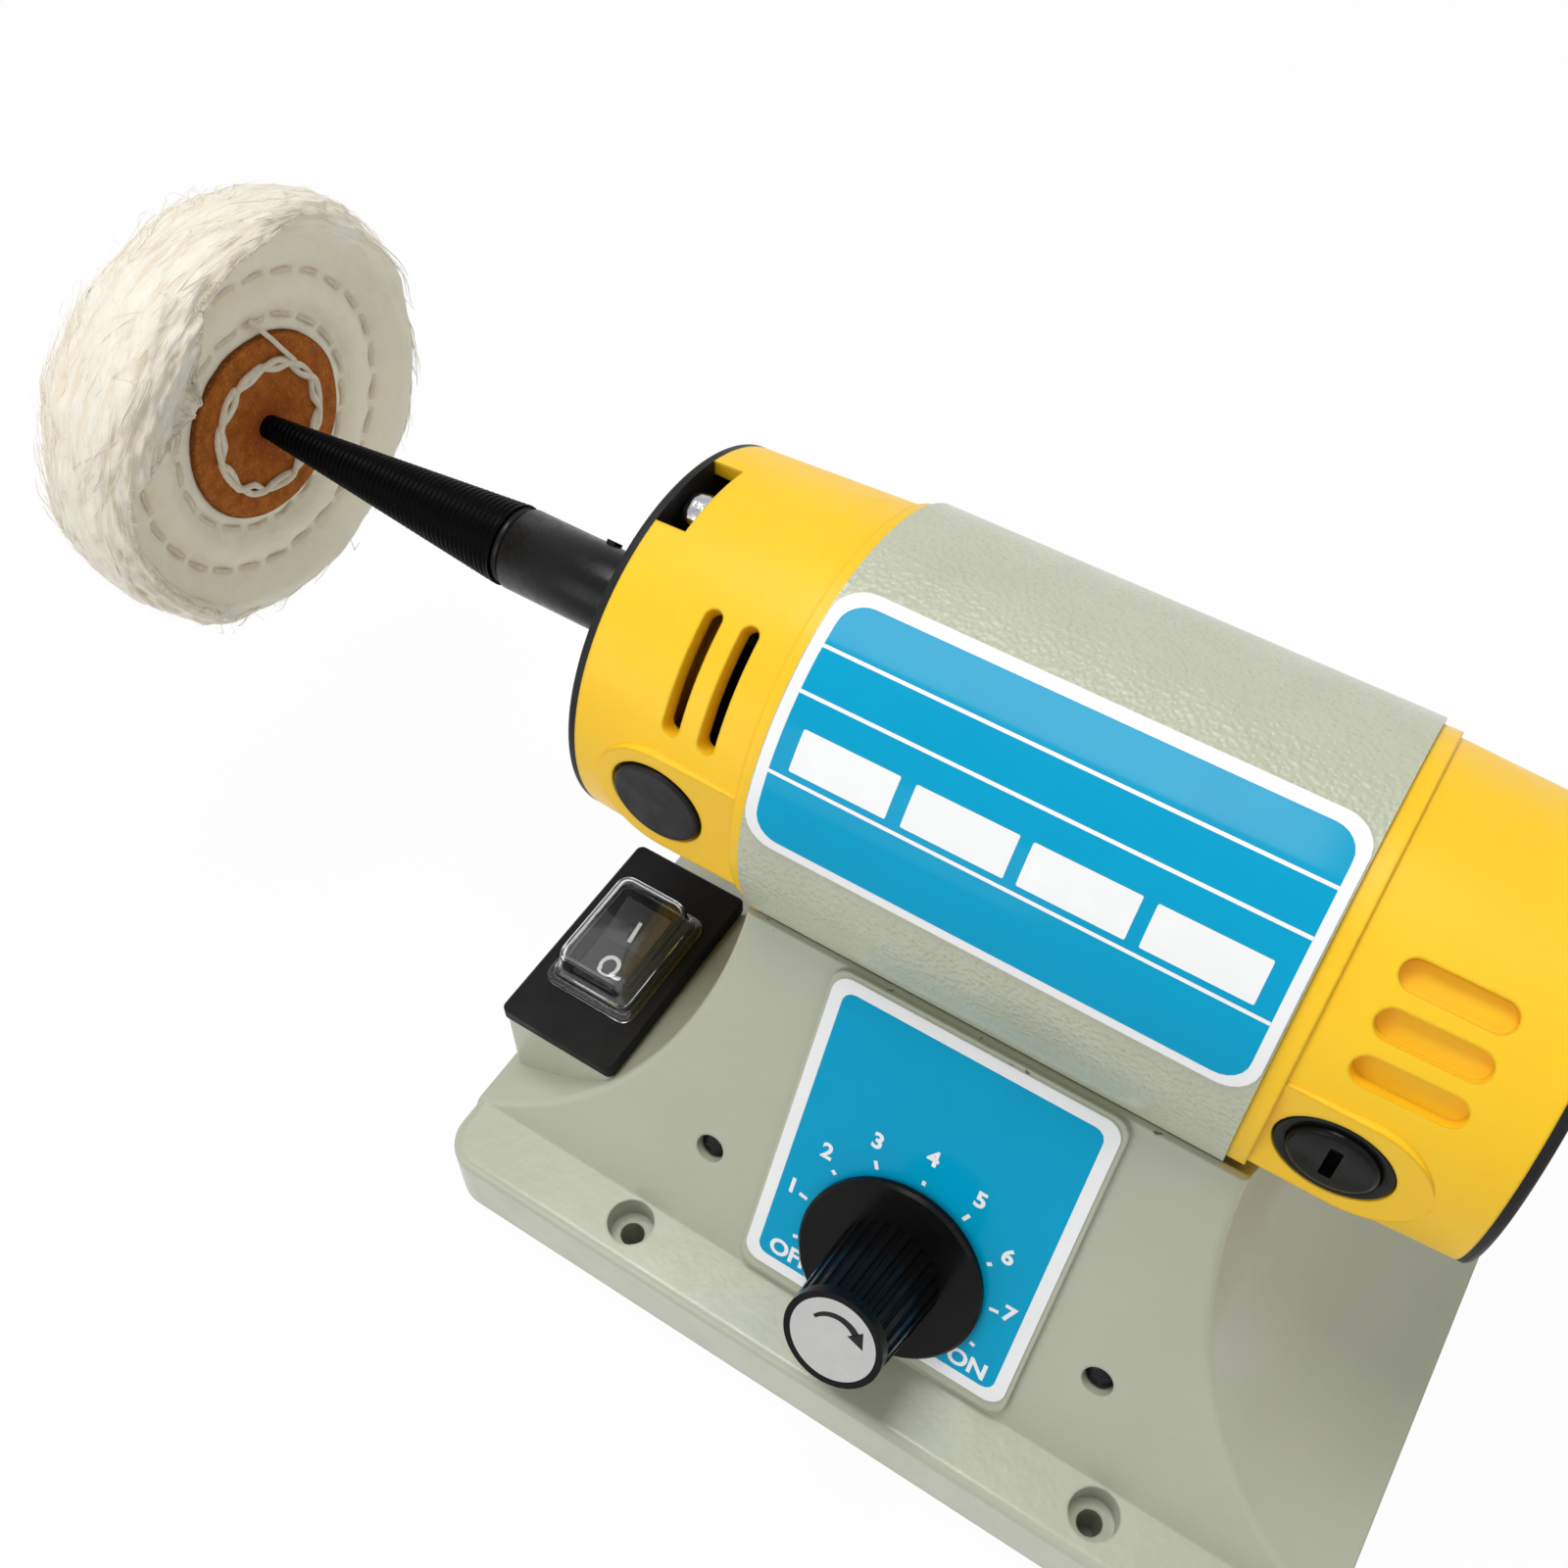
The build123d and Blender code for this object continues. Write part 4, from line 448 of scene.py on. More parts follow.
def cotton_finish():
    """Cotton: combed strands on the rim and the fold, with painted shade where they lie low; plain weave on
    the faces; painted shade in the stitch creases.
    """
    f = Finish("cotton", (241, 237, 224), 0.92, Sheen_Weight=0.1, Sheen_Roughness=0.6, Subsurface_Weight=0.35,
               Subsurface_Radius=(0.004, 0.0037, 0.0032), Subsurface_Scale=0.8, Specular_IOR_Level=0.2)
    radius, turn = f.polar()
    x = f.axes()[0]
    fringe = f.math("MAXIMUM", f.ranged(radius, FRAY_START * MM, FRAY_END * MM),
                    f.ranged(x, FACE_X * MM, FOLD_X * MM))
    face = f.math("SUBTRACT", 1.0, fringe)
    combed = f.vector(x, f.math("MULTIPLY", turn, 5 * MM), radius)
    strands = f.noise(1.5, 4.0, combed, 0.8)
    wisps = f.noise(0.5, 3.0, combed, 0.6)
    f.mottle(7, (236, 230, 213))
    # Painted shade: a darker, warmer tint where the combed strands lie low, in the valleys between them
    f.tint(f.math("MULTIPLY", fringe, f.ranged(strands, 0.52, 0.32, 0.0, 0.6)), (226, 209, 178))
    f.tint(f.math("MULTIPLY", face, f.ranged(f.noise(9), 0.3, 0.7, 0.5, 0.9)), (247, 239, 213))
    # Painted shade: a darker tint in the crease beside each stitch, along the thread
    for ring in STITCH_RINGS:
        away = f.math("ABSOLUTE", f.math("SUBTRACT", radius, ring * MM))
        beat = f.math("FRACT", f.math("MULTIPLY", turn, stitch_count(ring) / (2 * math.pi)))
        sewn = f.math("LESS_THAN", beat, STITCH_LENGTH / STITCH_PITCH)
        crease_shade = f.math("MULTIPLY", sewn, f.ranged(away, CREASE_SHADE_HALF * MM, CREASE_SHADE_END * MM, 0.32, 0.0))
        f.tint(f.math("MULTIPLY", face, crease_shade), (196, 176, 148))
    f.bump(f.math("MULTIPLY", fringe, strands), 0.6)
    f.bump(f.math("MULTIPLY", fringe, wisps), 0.1)
    f.bump(f.math("MULTIPLY", fringe, f.noise(0.35)), 0.06)
    f.bump(f.math("MULTIPLY", face, f.noise(0.45)), 0.10)
    f.bump(f.math("MULTIPLY", face, f.noise(4)), 0.8)
    return f.done()


def leather_finish():
    """Suede: redder and darker at the bore, dark at the cut edge."""
    f = Finish("leather", (182, 106, 40), 0.85, Specular_IOR_Level=0.12)
    radius, _ = f.polar()
    f.mottle(2.6, (148, 80, 28), 2.6)
    f.tint(f.ranged(radius, 3 * MM, 12 * MM, 0.75, 0.0), (140, 62, 16))
    f.tint(f.ranged(radius, (LEATHER_R - 0.6) * MM, LEATHER_R * MM, 0.0, 0.85), (92, 50, 20))
    f.tint(f.ranged(f.noise(0.5, 2.0), 0.58, 0.68, 0.0, 0.55), (110, 56, 20))
    f.tint(f.ranged(f.noise(0.7, 2.0), 0.42, 0.32, 0.0, 0.4), (206, 136, 70))
    f.bump(f.noise(0.6), 0.2)
    f.bump(f.noise(2.5), 0.3)
    return f.done()


cotton = cotton_finish()
leather = leather_finish()

# Finish of each CAD node; the others are bright steel
FINISHES = {
    "base_casting": base_paint, "motor_barrel": barrel_paint,
    "front_end_cap": yellow_plastic, "rear_end_cap": yellow_plastic,
    "front_plate": black_plastic, "rear_plate": black_plastic, "blank_plugs": black_plastic,
    "switch_plate": switch_plastic, "switch_body": black_plastic, "rocker": rocker_plastic,
    "brush_caps": gloss_black, "speed_knob": gloss_black, "cooling_fan": black_plastic,
    "potentiometer_body": black_plastic, "bottom_cover": dull_steel, "spindle_set_screw": black_oxide,
    "tie_bolt_nuts": chrome, "stator_core": core_steel, "armature_core": core_steel,
    "field_coils": copper, "armature_windings": copper, "commutator": copper,
    "brush_holders": brass, "switch_terminals": brass, "front_brush": carbon, "rear_brush": carbon,
    "rating_label": label_white, "dial_label": label_white, "knob_disc": disc_white,
    "control_board": board_green, "board_capacitor": aluminium, "heat_sink": aluminium,
    "cord_grommet": rubber,
}
for name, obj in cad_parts.items():
    obj.data.materials.clear()
    obj.data.materials.append(FINISHES.get(name, bright_steel))

# Spindle: turned collar and a fine screw thread on the taper, with its run-in and run-out
SPINDLE_SIDES = 48
THREAD_PITCH, THREAD_DEPTH, THREAD_ROWS = 1.25, 0.3, 6  # rows of points to each turn of the thread
THREAD_RUN_IN, THREAD_RUN_OUT, THREAD_LEAST = 1.2, 4, 0.2


def taper_r(x):
    share = (TAPER_START - x) / (TAPER_START - TAPER_END)
    return TAPER_BIG_R + (TAPER_TIP_R - TAPER_BIG_R) * share


def spindle_piece():
    shape = Shape()
    turns = ring_turns(SPINDLE_SIDES)
    turned = [
        (SHAFT_NOSE, SHAFT_R), (COLLAR_START, SHAFT_R), (COLLAR_START, COLLAR_R - 0.4),
        (COLLAR_START - 0.4, COLLAR_R), (COLLAR_END + 0.5, COLLAR_R), (COLLAR_END, COLLAR_R - 0.5),
        (COLLAR_END, GROOVE_R + 0.2), (COLLAR_END - 0.3, GROOVE_R), (TAPER_START + 0.3, GROOVE_R),
        (TAPER_START, GROOVE_R + 0.3), (TAPER_START, TAPER_BIG_R - THREAD_DEPTH),
    ]
    rows = [[around(x, r, a) for a in turns] for x, r in turned]
    steps = int((TAPER_START - TAPER_END) / THREAD_PITCH * THREAD_ROWS)
    for i in range(steps + 1):
        x = TAPER_START - (TAPER_START - TAPER_END) * i / steps
        fade = smoothstep(0, THREAD_RUN_IN, TAPER_START - x) * smoothstep(0, THREAD_RUN_OUT, x - TAPER_END)
        row = []
        for a in turns:
            wave = 0.5 - 0.5 * math.cos(2 * math.pi * x / THREAD_PITCH + a)
            cut = THREAD_DEPTH * (wave if fade else 1) * max(fade, THREAD_LEAST)
            row.append(around(x, taper_r(x) - cut, a))
        rows.append(row)
    shape.grid(rows, wrap=True, caps=True)
    obj = shape.build("spindle_with_thread", "rotor", black_oxide, "black_steel")
    obj.data.materials.append(thread_oxide)
    for face in obj.data.polygons:
        face.material_index = 1 if face.center.x < TAPER_START * MM else 0
    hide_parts("tapered_spindle")


# Cotton buff: half thickness and radius along the near half of its section, from the washer to the rim
NEAR_PROFILE = (
    (6.4, 18.6), (7.2, 20.6), (6.6, 23.2), (8.2, 26.6), (8.3, 29.4), (7.0, 32.6), (8.9, 36.2), (10.2, 40.0),
    (9.9, 43.4), (8.2, 46.2), (4.8, 48.0), (1.5, 48.5),
)
FACE_ROWS = 9  # of the section that belong to the face
BUFF_SIDES, SECTION_POINTS = 420, 160
NEAR_BORE_R, FAR_BORE_R = 3.0, 2.0
RIM_START, RIM_FULL = 37, 45  # radii between which the cloth comes loose
RIM_TRIM, FAR_TRIM = 1.4, 2.4  # how far the loose rim stands back, and how much more at its far edge
DENT_TURN, DENT_WIDTH, DENT_DEPTH = -35, 30, 3.2  # in degrees and millimetres
PUCKER_WIDTH, PUCKER_DEPTH = 2.6, 0.3
# Where the frayed fringe folds over the near face: turn in degrees, inner edge, and height over the face
FOLD = (
    (-75, 46.0, 0.0), (-40, 40.0, 3.0), (-5, 40.0, 5.0), (19, 40.0, 6.5), (31, 29.0, 7.0), (50, 25.0, 7.5),
    (61, 29.5, 7.5), (72, 39.0, 6.5), (100, 41.5, 5.0), (124, 45.5, 2.5), (150, 47.0, 0.0),
)
FOLD_RAGGED = 1.1
FOLD_INSIDE, FOLD_OUTSIDE = 1.5, 4.5  # reach of its slope to each side of the edge
FOLD_LOOSE = 3.0  # height at which it is as loose as the rim


def fold(turn):
    """Inner edge and height of the folded fringe at a turn."""
    degrees = (math.degrees(turn) + 180) % 360 - 180
    edge, height = between(FOLD, degrees)
    ragged = noise.noise((degrees / 7, 1.3, 0.0)) + 0.6 * noise.noise((degrees / 2.5, 4.1, 0.0))
    return edge + FOLD_RAGGED * ragged, height


def near_d(r):
    """Half thickness of the near face at a radius."""
    return between([(radius, d) for d, radius in NEAR_PROFILE[:FACE_ROWS]], r)[0]


def buff_point(d, r, turn, lift=0.0):
    """Surface of the buff: section offset and radius, folded over, swollen and creased by seeded noise."""
    edge, height = fold(turn)
    slope = smoothstep(edge - FOLD_INSIDE, edge + FOLD_OUTSIDE, r)
    folded = slope * min(height, FOLD_LOOSE) / FOLD_LOOSE if d > -3 else 0.0
    rim = smoothstep(RIM_START, RIM_FULL, r)
    loose = max(rim, folded)
    cx, cy = math.cos(turn), math.sin(turn)
    lump = noise.noise((cx * r / 13, cy * r / 13, d / 15 + 3.1))
    strand = noise.noise((turn * 7 + d * 0.12, d * 0.55, r * 0.55))
    strand += 0.6 * noise.noise((turn * 15, d * 1.2 + turn, r))
    wrinkle = noise.noise((cx * r / 5, cy * r / 5, 5.0 + (1 if d > 0 else -1)))
    pucker = 0.0
    for ring in STITCH_RINGS:
        near = math.exp(-((r - ring) / PUCKER_WIDTH) ** 2)
        pucker += near * PUCKER_DEPTH * math.sin(turn * stitch_count(ring) + ring)
    from_dent = (math.degrees(turn) - DENT_TURN + 180) % 360 - 180
    dent = DENT_DEPTH * math.exp(-(from_dent / DENT_WIDTH) ** 2)
    out_r = rim * (0.9 * lump + 0.55 * strand + lift - RIM_TRIM - dent - FAR_TRIM * smoothstep(3, -9, d))
    out_d = (1 - rim) * lift + (1 - loose) * (pucker + 0.3 * wrinkle)
    out_d += folded * (0.9 * strand + 0.8 * lump) + rim * 0.6 * lump
    swell = height * slope * smoothstep(-3, 6, d)
    outward = math.copysign(1, d) * out_d * min(abs(d) / 3, 1)
    return around(BUFF_MID + d + swell + outward, r + out_r, turn)


def buff_piece():
    """The cloth. Returns the points of its section where loose strands start."""
    shape = Shape()
    turns = ring_turns(BUFF_SIDES)
    section = NEAR_PROFILE + tuple((-d, r) for d, r in reversed(NEAR_PROFILE))
    section = spline([(d, r, 0) for d, r in section], SECTION_POINTS)
    shape.grid([[buff_point(p.x, p.y, a) for a in turns] for p in section], wrap=True)
    near, far = section[0], section[-1]
    half = NEAR_PROFILE[0][0]
    bore = [(far.x, far.y), (-half, FAR_BORE_R), (half, NEAR_BORE_R), (near.x, near.y)]
    shape.grid([[around(BUFF_MID + d, r, a) for a in turns] for d, r in bore], wrap=True)
    obj = shape.build("cotton_buff", "rotor", cotton, "cotton")
    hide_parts("buff_wheel")
    return [p for p in section if p.y > FLUFF_START]


# Loose strands on the rim: lengths, lifts and radii of the combed ones, and of the short strays between them
RIM_STRANDS, FLUFF_START, FLUFF_HALF = 2600, 40, 9.5
COMBED = ((8.0, 20.0), (0.0, 0.12), (0.07, 0.16))
STRAY = ((3.0, 8.0), (0.4, 1.3), (0.025, 0.04))
LEAN, CURL = (-0.15, 0.22), (0, 0.3)  # mean and spread, in radians
# Strands over the fold: turns in degrees, starts outside its edge, ends inside it, and how they drift
FOLD_STRANDS, FOLD_TURNS, FOLD_STARTS, FOLD_ENDS = 700, (-45, 108), (2.0, 8.0), (-1.0, 1.6)
FOLD_DRIFT, FOLD_LIFTS, FOLD_RADII = (-0.02, 0.08), (0.05, 0.4), (0.05, 0.14)


def wisp(shape, path, radius, sides):
    """A strand that thins out along its path."""
    shape.tube(path, lambda t: radius * (1 - 0.7 * t), sides=sides)


def arched(lift, t):
    """Height of a strand that lies down at both ends."""
    return lift * math.sin(math.pi * (0.1 + 0.8 * t))


def buff_fluff(rim):
    """Loose strands: combed round the rim, and hanging over the inner edge of the fold."""
    shape = Shape()
    for i in range(RIM_STRANDS):
        stray = i % 2 == 0
        lengths, lifts, radii = STRAY if stray else COMBED
        place = rng.choice(rim)
        turn = rng.uniform(0, 2 * math.pi)
        length = rng.uniform(*lengths)
        lean, curl = rng.gauss(*LEAN), rng.gauss(*CURL)
        lift = rng.uniform(*lifts)
        radius = rng.uniform(*radii)
        path = []
        for k in range(7):
            t = k / 6
            heading = lean + curl * t
            d = place.x + math.sin(heading) * length * t
            d = max(min(d, FLUFF_HALF), -FLUFF_HALF)
            rise = lift * t * t if stray else arched(lift, t) - 0.1
            path.append(buff_point(d, place.y, turn + math.cos(heading) * length * t / place.y, rise))
        wisp(shape, path, radius, sides=4)
    for _ in range(FOLD_STRANDS):
        turn = math.radians(rng.uniform(*FOLD_TURNS))
        edge = fold(turn)[0]
        start = min(edge + rng.uniform(*FOLD_STARTS), RIM_FULL)
        end = edge - rng.uniform(*FOLD_ENDS)
        drift = rng.gauss(*FOLD_DRIFT)
        lift = rng.uniform(*FOLD_LIFTS)
        path = []
        for k in range(6):
            t = k / 5
            r = start + (end - start) * t
            path.append(buff_point(near_d(r), r, turn + drift * t, arched(lift, t)))
        wisp(shape, path, rng.uniform(*FOLD_RADII), sides=3)
    shape.build("buff_fluff", "rotor", fluff, "cotton")


STITCH_STRAY, STITCH_WOBBLE = 0.03, 0.25
STITCH_ARCH, STITCH_SINK = 0.9, 0.6
STITCH_CLEAR = 1.5  # from the fold's edge


def buff_stitches():
    """Running stitches round both faces, but not where the fold hides them."""
    shape = Shape()
    for side in (1, -1):
        for ring in STITCH_RINGS:
            count = stitch_count(ring)
            span = STITCH_LENGTH / ring
            for k in range(count):
                start = 2 * math.pi * (k + STITCH_STRAY * rng.uniform(-1, 1)) / count
                if side == 1 and min(fold(start)[0], fold(start + span)[0]) < ring + STITCH_CLEAR:
                    continue
                r = ring + STITCH_WOBBLE * math.sin(k * 2.3)
                path = []
                for m in range(7):
                    t = m / 6
                    arch = STITCH_ARCH * math.sin(math.pi * t) ** 0.6 - STITCH_SINK
                    p = buff_point(side * near_d(ring), r, start + span * t)
                    path.append(p + Vector((side * arch, 0, 0)))
                shape.tube(path, STITCH_R, sides=6)
    shape.build("buff_stitches", "rotor", thread, "cotton")


# Leather washers, sewn on with a chain stitch of eleven links; its tail goes by radius, turn and rise
LEATHER_SIDES, CHAIN_STEPS = 160, 640
NEAR_HOLE_R, FAR_HOLE_R = 2.4, 1.3  # holes of the washers, which clear the taper
CHAIN_R, CHAIN_LINKS, CHAIN_SWING, CHAIN_CORD_R = 14.2, 11, 0.75, 0.72
TAIL = ((24.6, 97, -0.7), (21.6, 102, 0.8), (19.4, 108, 1.0), (17.2, 116, 0.9), (14.8, 133, 0.8))
TAIL_CORD_R = 0.55


def washer(shape, side):
    """One disc, a little wavy, with an uneven edge and a dip under the stitch."""
    seat, top = BUFF_HALF - LEATHER_THICKNESS, BUFF_HALF
    hole = NEAR_HOLE_R if side == 1 else FAR_HOLE_R
    profile = [(seat + 0.05, hole), (seat + 0.05, 19.6), (seat + 0.5, LEATHER_R), (top - 0.45, LEATHER_R),
               (top - 0.1, 19.9), (top - 0.05, 17.0), (top - 0.35, CHAIN_R), (top - 0.05, 11.0),
               (top - 0.1, 6.0), (top - 0.3, hole)]
    rows = []
    for d, r in profile:
        row = []
        for a in ring_turns(LEATHER_SIDES):
            uneven = noise.noise((math.cos(a) * 2.4, math.sin(a) * 2.4, 9.0 * side))
            wavy = 0.12 * noise.noise((math.cos(a) * r / 6, math.sin(a) * r / 6, 4.0))
            out = d + (wavy if d > seat + 1 else 0)
            row.append(around(BUFF_MID + side * out, r + 0.35 * uneven * r / 20, a))
        rows.append(row)
    shape.grid(rows, wrap=True)


def chain_cord(shape, side):
    """Cord of the chain stitch: two turns that weave in and out, on a ring of straight links."""
    link = 2 * math.pi / CHAIN_LINKS
    path = []
    for j in range(CHAIN_STEPS):
        a = 4 * math.pi * j / CHAIN_STEPS
        phase = CHAIN_LINKS / 2 * a
        facet = math.cos(link / 2) / math.cos(a % link - link / 2)
        loose = noise.noise((math.cos(a) * 3, math.sin(a) * 3, a))
        r = CHAIN_R * facet + CHAIN_SWING * math.sin(phase) + 0.55 * loose
        path.append(around(BUFF_MID + side * (BUFF_HALF + 0.25 + 0.25 * math.cos(phase)), r, a))

    def cord_r(t):
        return CHAIN_CORD_R * (1 + 0.22 * noise.noise((t * 60, 2.0, side)))

    shape.tube(path, cord_r, sides=8, closed=True)


def leather_pieces():
    discs, cord = Shape(), Shape()
    for side in (1, -1):
        washer(discs, side)
        chain_cord(cord, side)
    tail = [around(BUFF_MID + BUFF_HALF + rise, r, math.radians(a)) for r, a, rise in TAIL]
    cord.tube(spline(tail, 20), TAIL_CORD_R, sides=7)
    obj = discs.build("leather_discs", "rotor", leather, "leather")
    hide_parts("leather_washers")
    cord.build("chain_stitch", "rotor", thread, "cotton")


# Height of the first and the second layer of print
PRINT_RISE, SECOND_RISE = 0.03, 0.06

# Rating label: a thin sheet laid on the barrel's curve, and its print, with the legends left blank.
# Edges are left and right from the barrel's middle, and the lowest and highest elevation in degrees.
SHEET_EDGES = (-44.6, 44.7, 12.5, 79.2)
FIELD_EDGES = (-42.5, 42.8, 15.0, 75.6)
SHEET_CORNER, SHEET_WALL, FIELD_CORNER = 5.8, 0.4, 4.6
LINE_ELEVATIONS, LINE_HALF = (62.9, 51.6, 31.9), 0.45
BOX_SIDES = ((-39.2, -21.6), (-18.9, -1.0), (1.2, 19.2), (21.5, 39.6))
BOX_LOW, BOX_HIGH, BOX_CORNER = 33.9, 44.3, 0.3


def curved_rows(left, right, low, high, corner, radius):
    """Ends of the rows of a rounded rectangle round the barrel, between two stations and two elevations."""
    middle = math.radians((low + high) / 2)
    height = math.radians(high - low) * radius
    rows = []
    for y, half in rounded_rows(right - left, height, corner):
        ends = ((left + right) / 2 - half, (left + right) / 2 + half)
        rows.append([around(BARREL_MID + x, radius, middle + y / radius) for x in ends])
    return rows


def curved(shape, left, right, low, high, corner=0.0, rise=PRINT_RISE):
    shape.grid(curved_rows(left, right, low, high, corner, LABEL_R + rise))


def rating_pieces():
    sheet = Shape()
    curved(sheet, *SHEET_EDGES, corner=SHEET_CORNER, rise=0.0)
    rim = []
    for radius in (LABEL_R - SHEET_WALL, LABEL_R):
        rows = curved_rows(*SHEET_EDGES, SHEET_CORNER, radius)
        rim.append([row[1] for row in rows] + [row[0] for row in reversed(rows)])
    sheet.grid(rim, wrap=True)
    obj = sheet.build("rating_sheet", "housing", label_white, "white_plastic")
    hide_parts("rating_label")
    field = Shape()
    curved(field, *FIELD_EDGES, corner=FIELD_CORNER)
    field.build("rating_field", "housing", label_blue, "label_blue")
    white = Shape()
    left, right = FIELD_EDGES[:2]
    for elevation in LINE_ELEVATIONS:
        curved(white, left, right, elevation - LINE_HALF, elevation + LINE_HALF, rise=SECOND_RISE)
    for left, right in BOX_SIDES:
        curved(white, left, right, BOX_LOW, BOX_HIGH, corner=BOX_CORNER, rise=SECOND_RISE)
    white.build("rating_lines", "housing", print_white, "white_plastic")


# Dial label print: blue field, a plain speed scale round the knob, OFF and ON; angles in degrees
DIAL_BORDER, DIAL_CORNER, LETTER_WEIGHT = 2.5, 2.2, 0.16
TICK_COUNT, TICK_FIRST, TICK_STEP = 11, 225, 27
TICK_START, TICK_SHORT, TICK_LONG, TICK_HALF = 19.4, 20.4, 21.2, 0.38
NUMBERED_TICKS = range(2, 9)
NUMBER_ACROSS, NUMBER_UP, NUMBER_SIZE = 23.0, 25.6, 4.6
WORDS, WORD_SIZE = (("OFF", -18.8, 9.4), ("ON", 19.4, 9.4)), 5.0


def flat_text(shape, text, size, x, up_slope):
    points, faces = lettering(text, size, LETTER_WEIGHT)
    shape.add([on_panel(x + p.x, up_slope + p.y, LABEL_FACE + SECOND_RISE) for p in points], faces)


def dial_print():
    field = Shape()
    middle = (LABEL_LOW + LABEL_HIGH) / 2
    width, height = LABEL_WIDTH - 2 * DIAL_BORDER, LABEL_HIGH - LABEL_LOW - 2 * DIAL_BORDER
    rows = []
    for y, half in rounded_rows(width, height, DIAL_CORNER):
        rows.append([on_panel(x, middle + y, LABEL_FACE + PRINT_RISE) for x in (-half, half)])
    field.grid(rows)
    field.build("dial_field", "housing", label_blue, "label_blue")
    white = Shape()
    for k in range(TICK_COUNT):
        turn = math.radians(TICK_FIRST - TICK_STEP * k)
        outer = TICK_LONG if k % 2 == 0 else TICK_SHORT
        side = Vector((-math.sin(turn), math.cos(turn))) * TICK_HALF
        out = Vector((math.cos(turn), math.sin(turn)))
        corners = [out * TICK_START - side, out * outer - side, out * outer + side, out * TICK_START + side]
        white.add([on_panel(c.x, KNOB_UP_SLOPE + c.y, LABEL_FACE + SECOND_RISE) for c in corners],
                  [(0, 1, 2, 3)])
        if k in NUMBERED_TICKS:
            flat_text(white, str(k - 1), NUMBER_SIZE, out.x * NUMBER_ACROSS,
                      KNOB_UP_SLOPE + out.y * NUMBER_UP)
    for text, x, up_slope in WORDS:
        flat_text(white, text, WORD_SIZE, x, up_slope)
    white.build("dial_scale", "housing", print_white, "white_plastic")


# Arrow on the knob's disc, which swells along its arc; its head goes by radius and reach past the arc's end
ARROW_R, ARROW_START, ARROW_SWEEP, ARROW_STEPS = 5.1, 150, 105, 24
ARROW_WIDTH, ARROW_SWELL = 0.7, 0.8
ARROW_HEAD = ((3.4, -0.3), (5.0, 2.8), (6.8, -0.3))


def knob_arrow():
    shape = Shape()
    rows = []
    for k in range(ARROW_STEPS + 1):
        share = k / ARROW_STEPS
        a = math.radians(ARROW_START - ARROW_SWEEP * share)
        half = (ARROW_WIDTH + ARROW_SWELL * share) / 2
        rows.append([on_panel(r * math.cos(a), KNOB_UP_SLOPE + r * math.sin(a), KNOB_TOP + PRINT_RISE)
                     for r in (ARROW_R - half, ARROW_R + half)])
    shape.grid(rows)
    end = math.radians(ARROW_START - ARROW_SWEEP)
    out, along = Vector((math.cos(end), math.sin(end))), Vector((math.sin(end), -math.cos(end)))
    head = [out * r + along * reach for r, reach in ARROW_HEAD]
    shape.add([on_panel(p.x, KNOB_UP_SLOPE + p.y, KNOB_TOP + PRINT_RISE) for p in head], [(0, 1, 2)])
    shape.build("knob_arrow", "knob", print_black, "black_plastic")


# Marks on the rocker: a bar and a ring, a little longer than wide
ROCKER_CROWN = 1.2
BAR_HALF, BAR_START, BAR_END = 0.42, 1.2, 5.8
RING_PLACE, RING_STRETCH, RING_RADII, RING_STEPS = -5.2, 1.15, (1.4, 2.15), 32


def rocker_marks():
    shape = Shape()

    def on_face(x, along):
        return on_rocker(x, along, ROCKER_CROWN + abs(along) * math.tan(ROCKER_TILT) + PRINT_RISE)

    bar = [(-BAR_HALF, BAR_START), (BAR_HALF, BAR_START), (BAR_HALF, BAR_END), (-BAR_HALF, BAR_END)]
    shape.add([on_face(x, y) for x, y in bar], [(0, 1, 2, 3)])
    ring = []
    for k in range(RING_STEPS + 1):
        a = 2 * math.pi * k / RING_STEPS
        across, along = math.cos(a), RING_STRETCH * math.sin(a)
        ring.append([on_face(r * across, RING_PLACE + r * along) for r in RING_RADII])
    shape.grid(ring)
    shape.build("rocker_marks", "rocker", print_white, "white_plastic")


# Clear boot over the rocker: width, length, corner and height of each ring, from its flange up
BOOT_RINGS = (
    (20.8, 28.2, 2.4, 0.05), (20.8, 28.2, 2.4, 1.0), (20.4, 27.8, 2.3, 1.3), (19.0, 26.4, 2.2, 1.45),
    (18.6, 26.0, 2.2, 1.7), (18.4, 25.8, 2.2, 2.5), (18.0, 25.4, 2.1, 2.75), (17.4, 24.8, 2.2, 2.9),
    (16.6, 24.0, 2.4, 6.2), (16.2, 23.6, 2.6, 7.6), (15.6, 23.0, 2.7, 8.4), (14.4, 21.8, 2.7, 8.9),
    (12.6, 20.0, 2.6, 9.0),
)
BOOT_WALL, CORNER_STEPS = 0.9, 6


def boot_ring(width, length, corner, height):
    """Points round a rounded rectangle over the switch plate."""
    points = []
    for k in range(4):
        cx = SWITCH_X + (width / 2 - corner) * (1 if k in (0, 3) else -1)
        cy = SWITCH_Y + (length / 2 - corner) * (1 if k in (0, 1) else -1)
        for m in range(CORNER_STEPS + 1):
            a = math.pi / 2 * (k + m / CORNER_STEPS)
            points.append(Vector((cx + corner * math.cos(a), cy + corner * math.sin(a), PLATE_TOP + height)))
    return points


def boot_piece():
    shape = Shape()
    rows = [boot_ring(*size) for size in BOOT_RINGS]
    shape.grid(rows, wrap=True)
    shape.faces.append([len(shape.points) - len(rows[-1]) + j for j in range(len(rows[-1]))])
    obj = shape.build("clear_boot", "housing", clear_vinyl, "clear_vinyl")
    wall = obj.modifiers.new("wall", "SOLIDIFY")
    wall.thickness = BOOT_WALL * MM
    wall.offset = -1
    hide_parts("switch_boot")
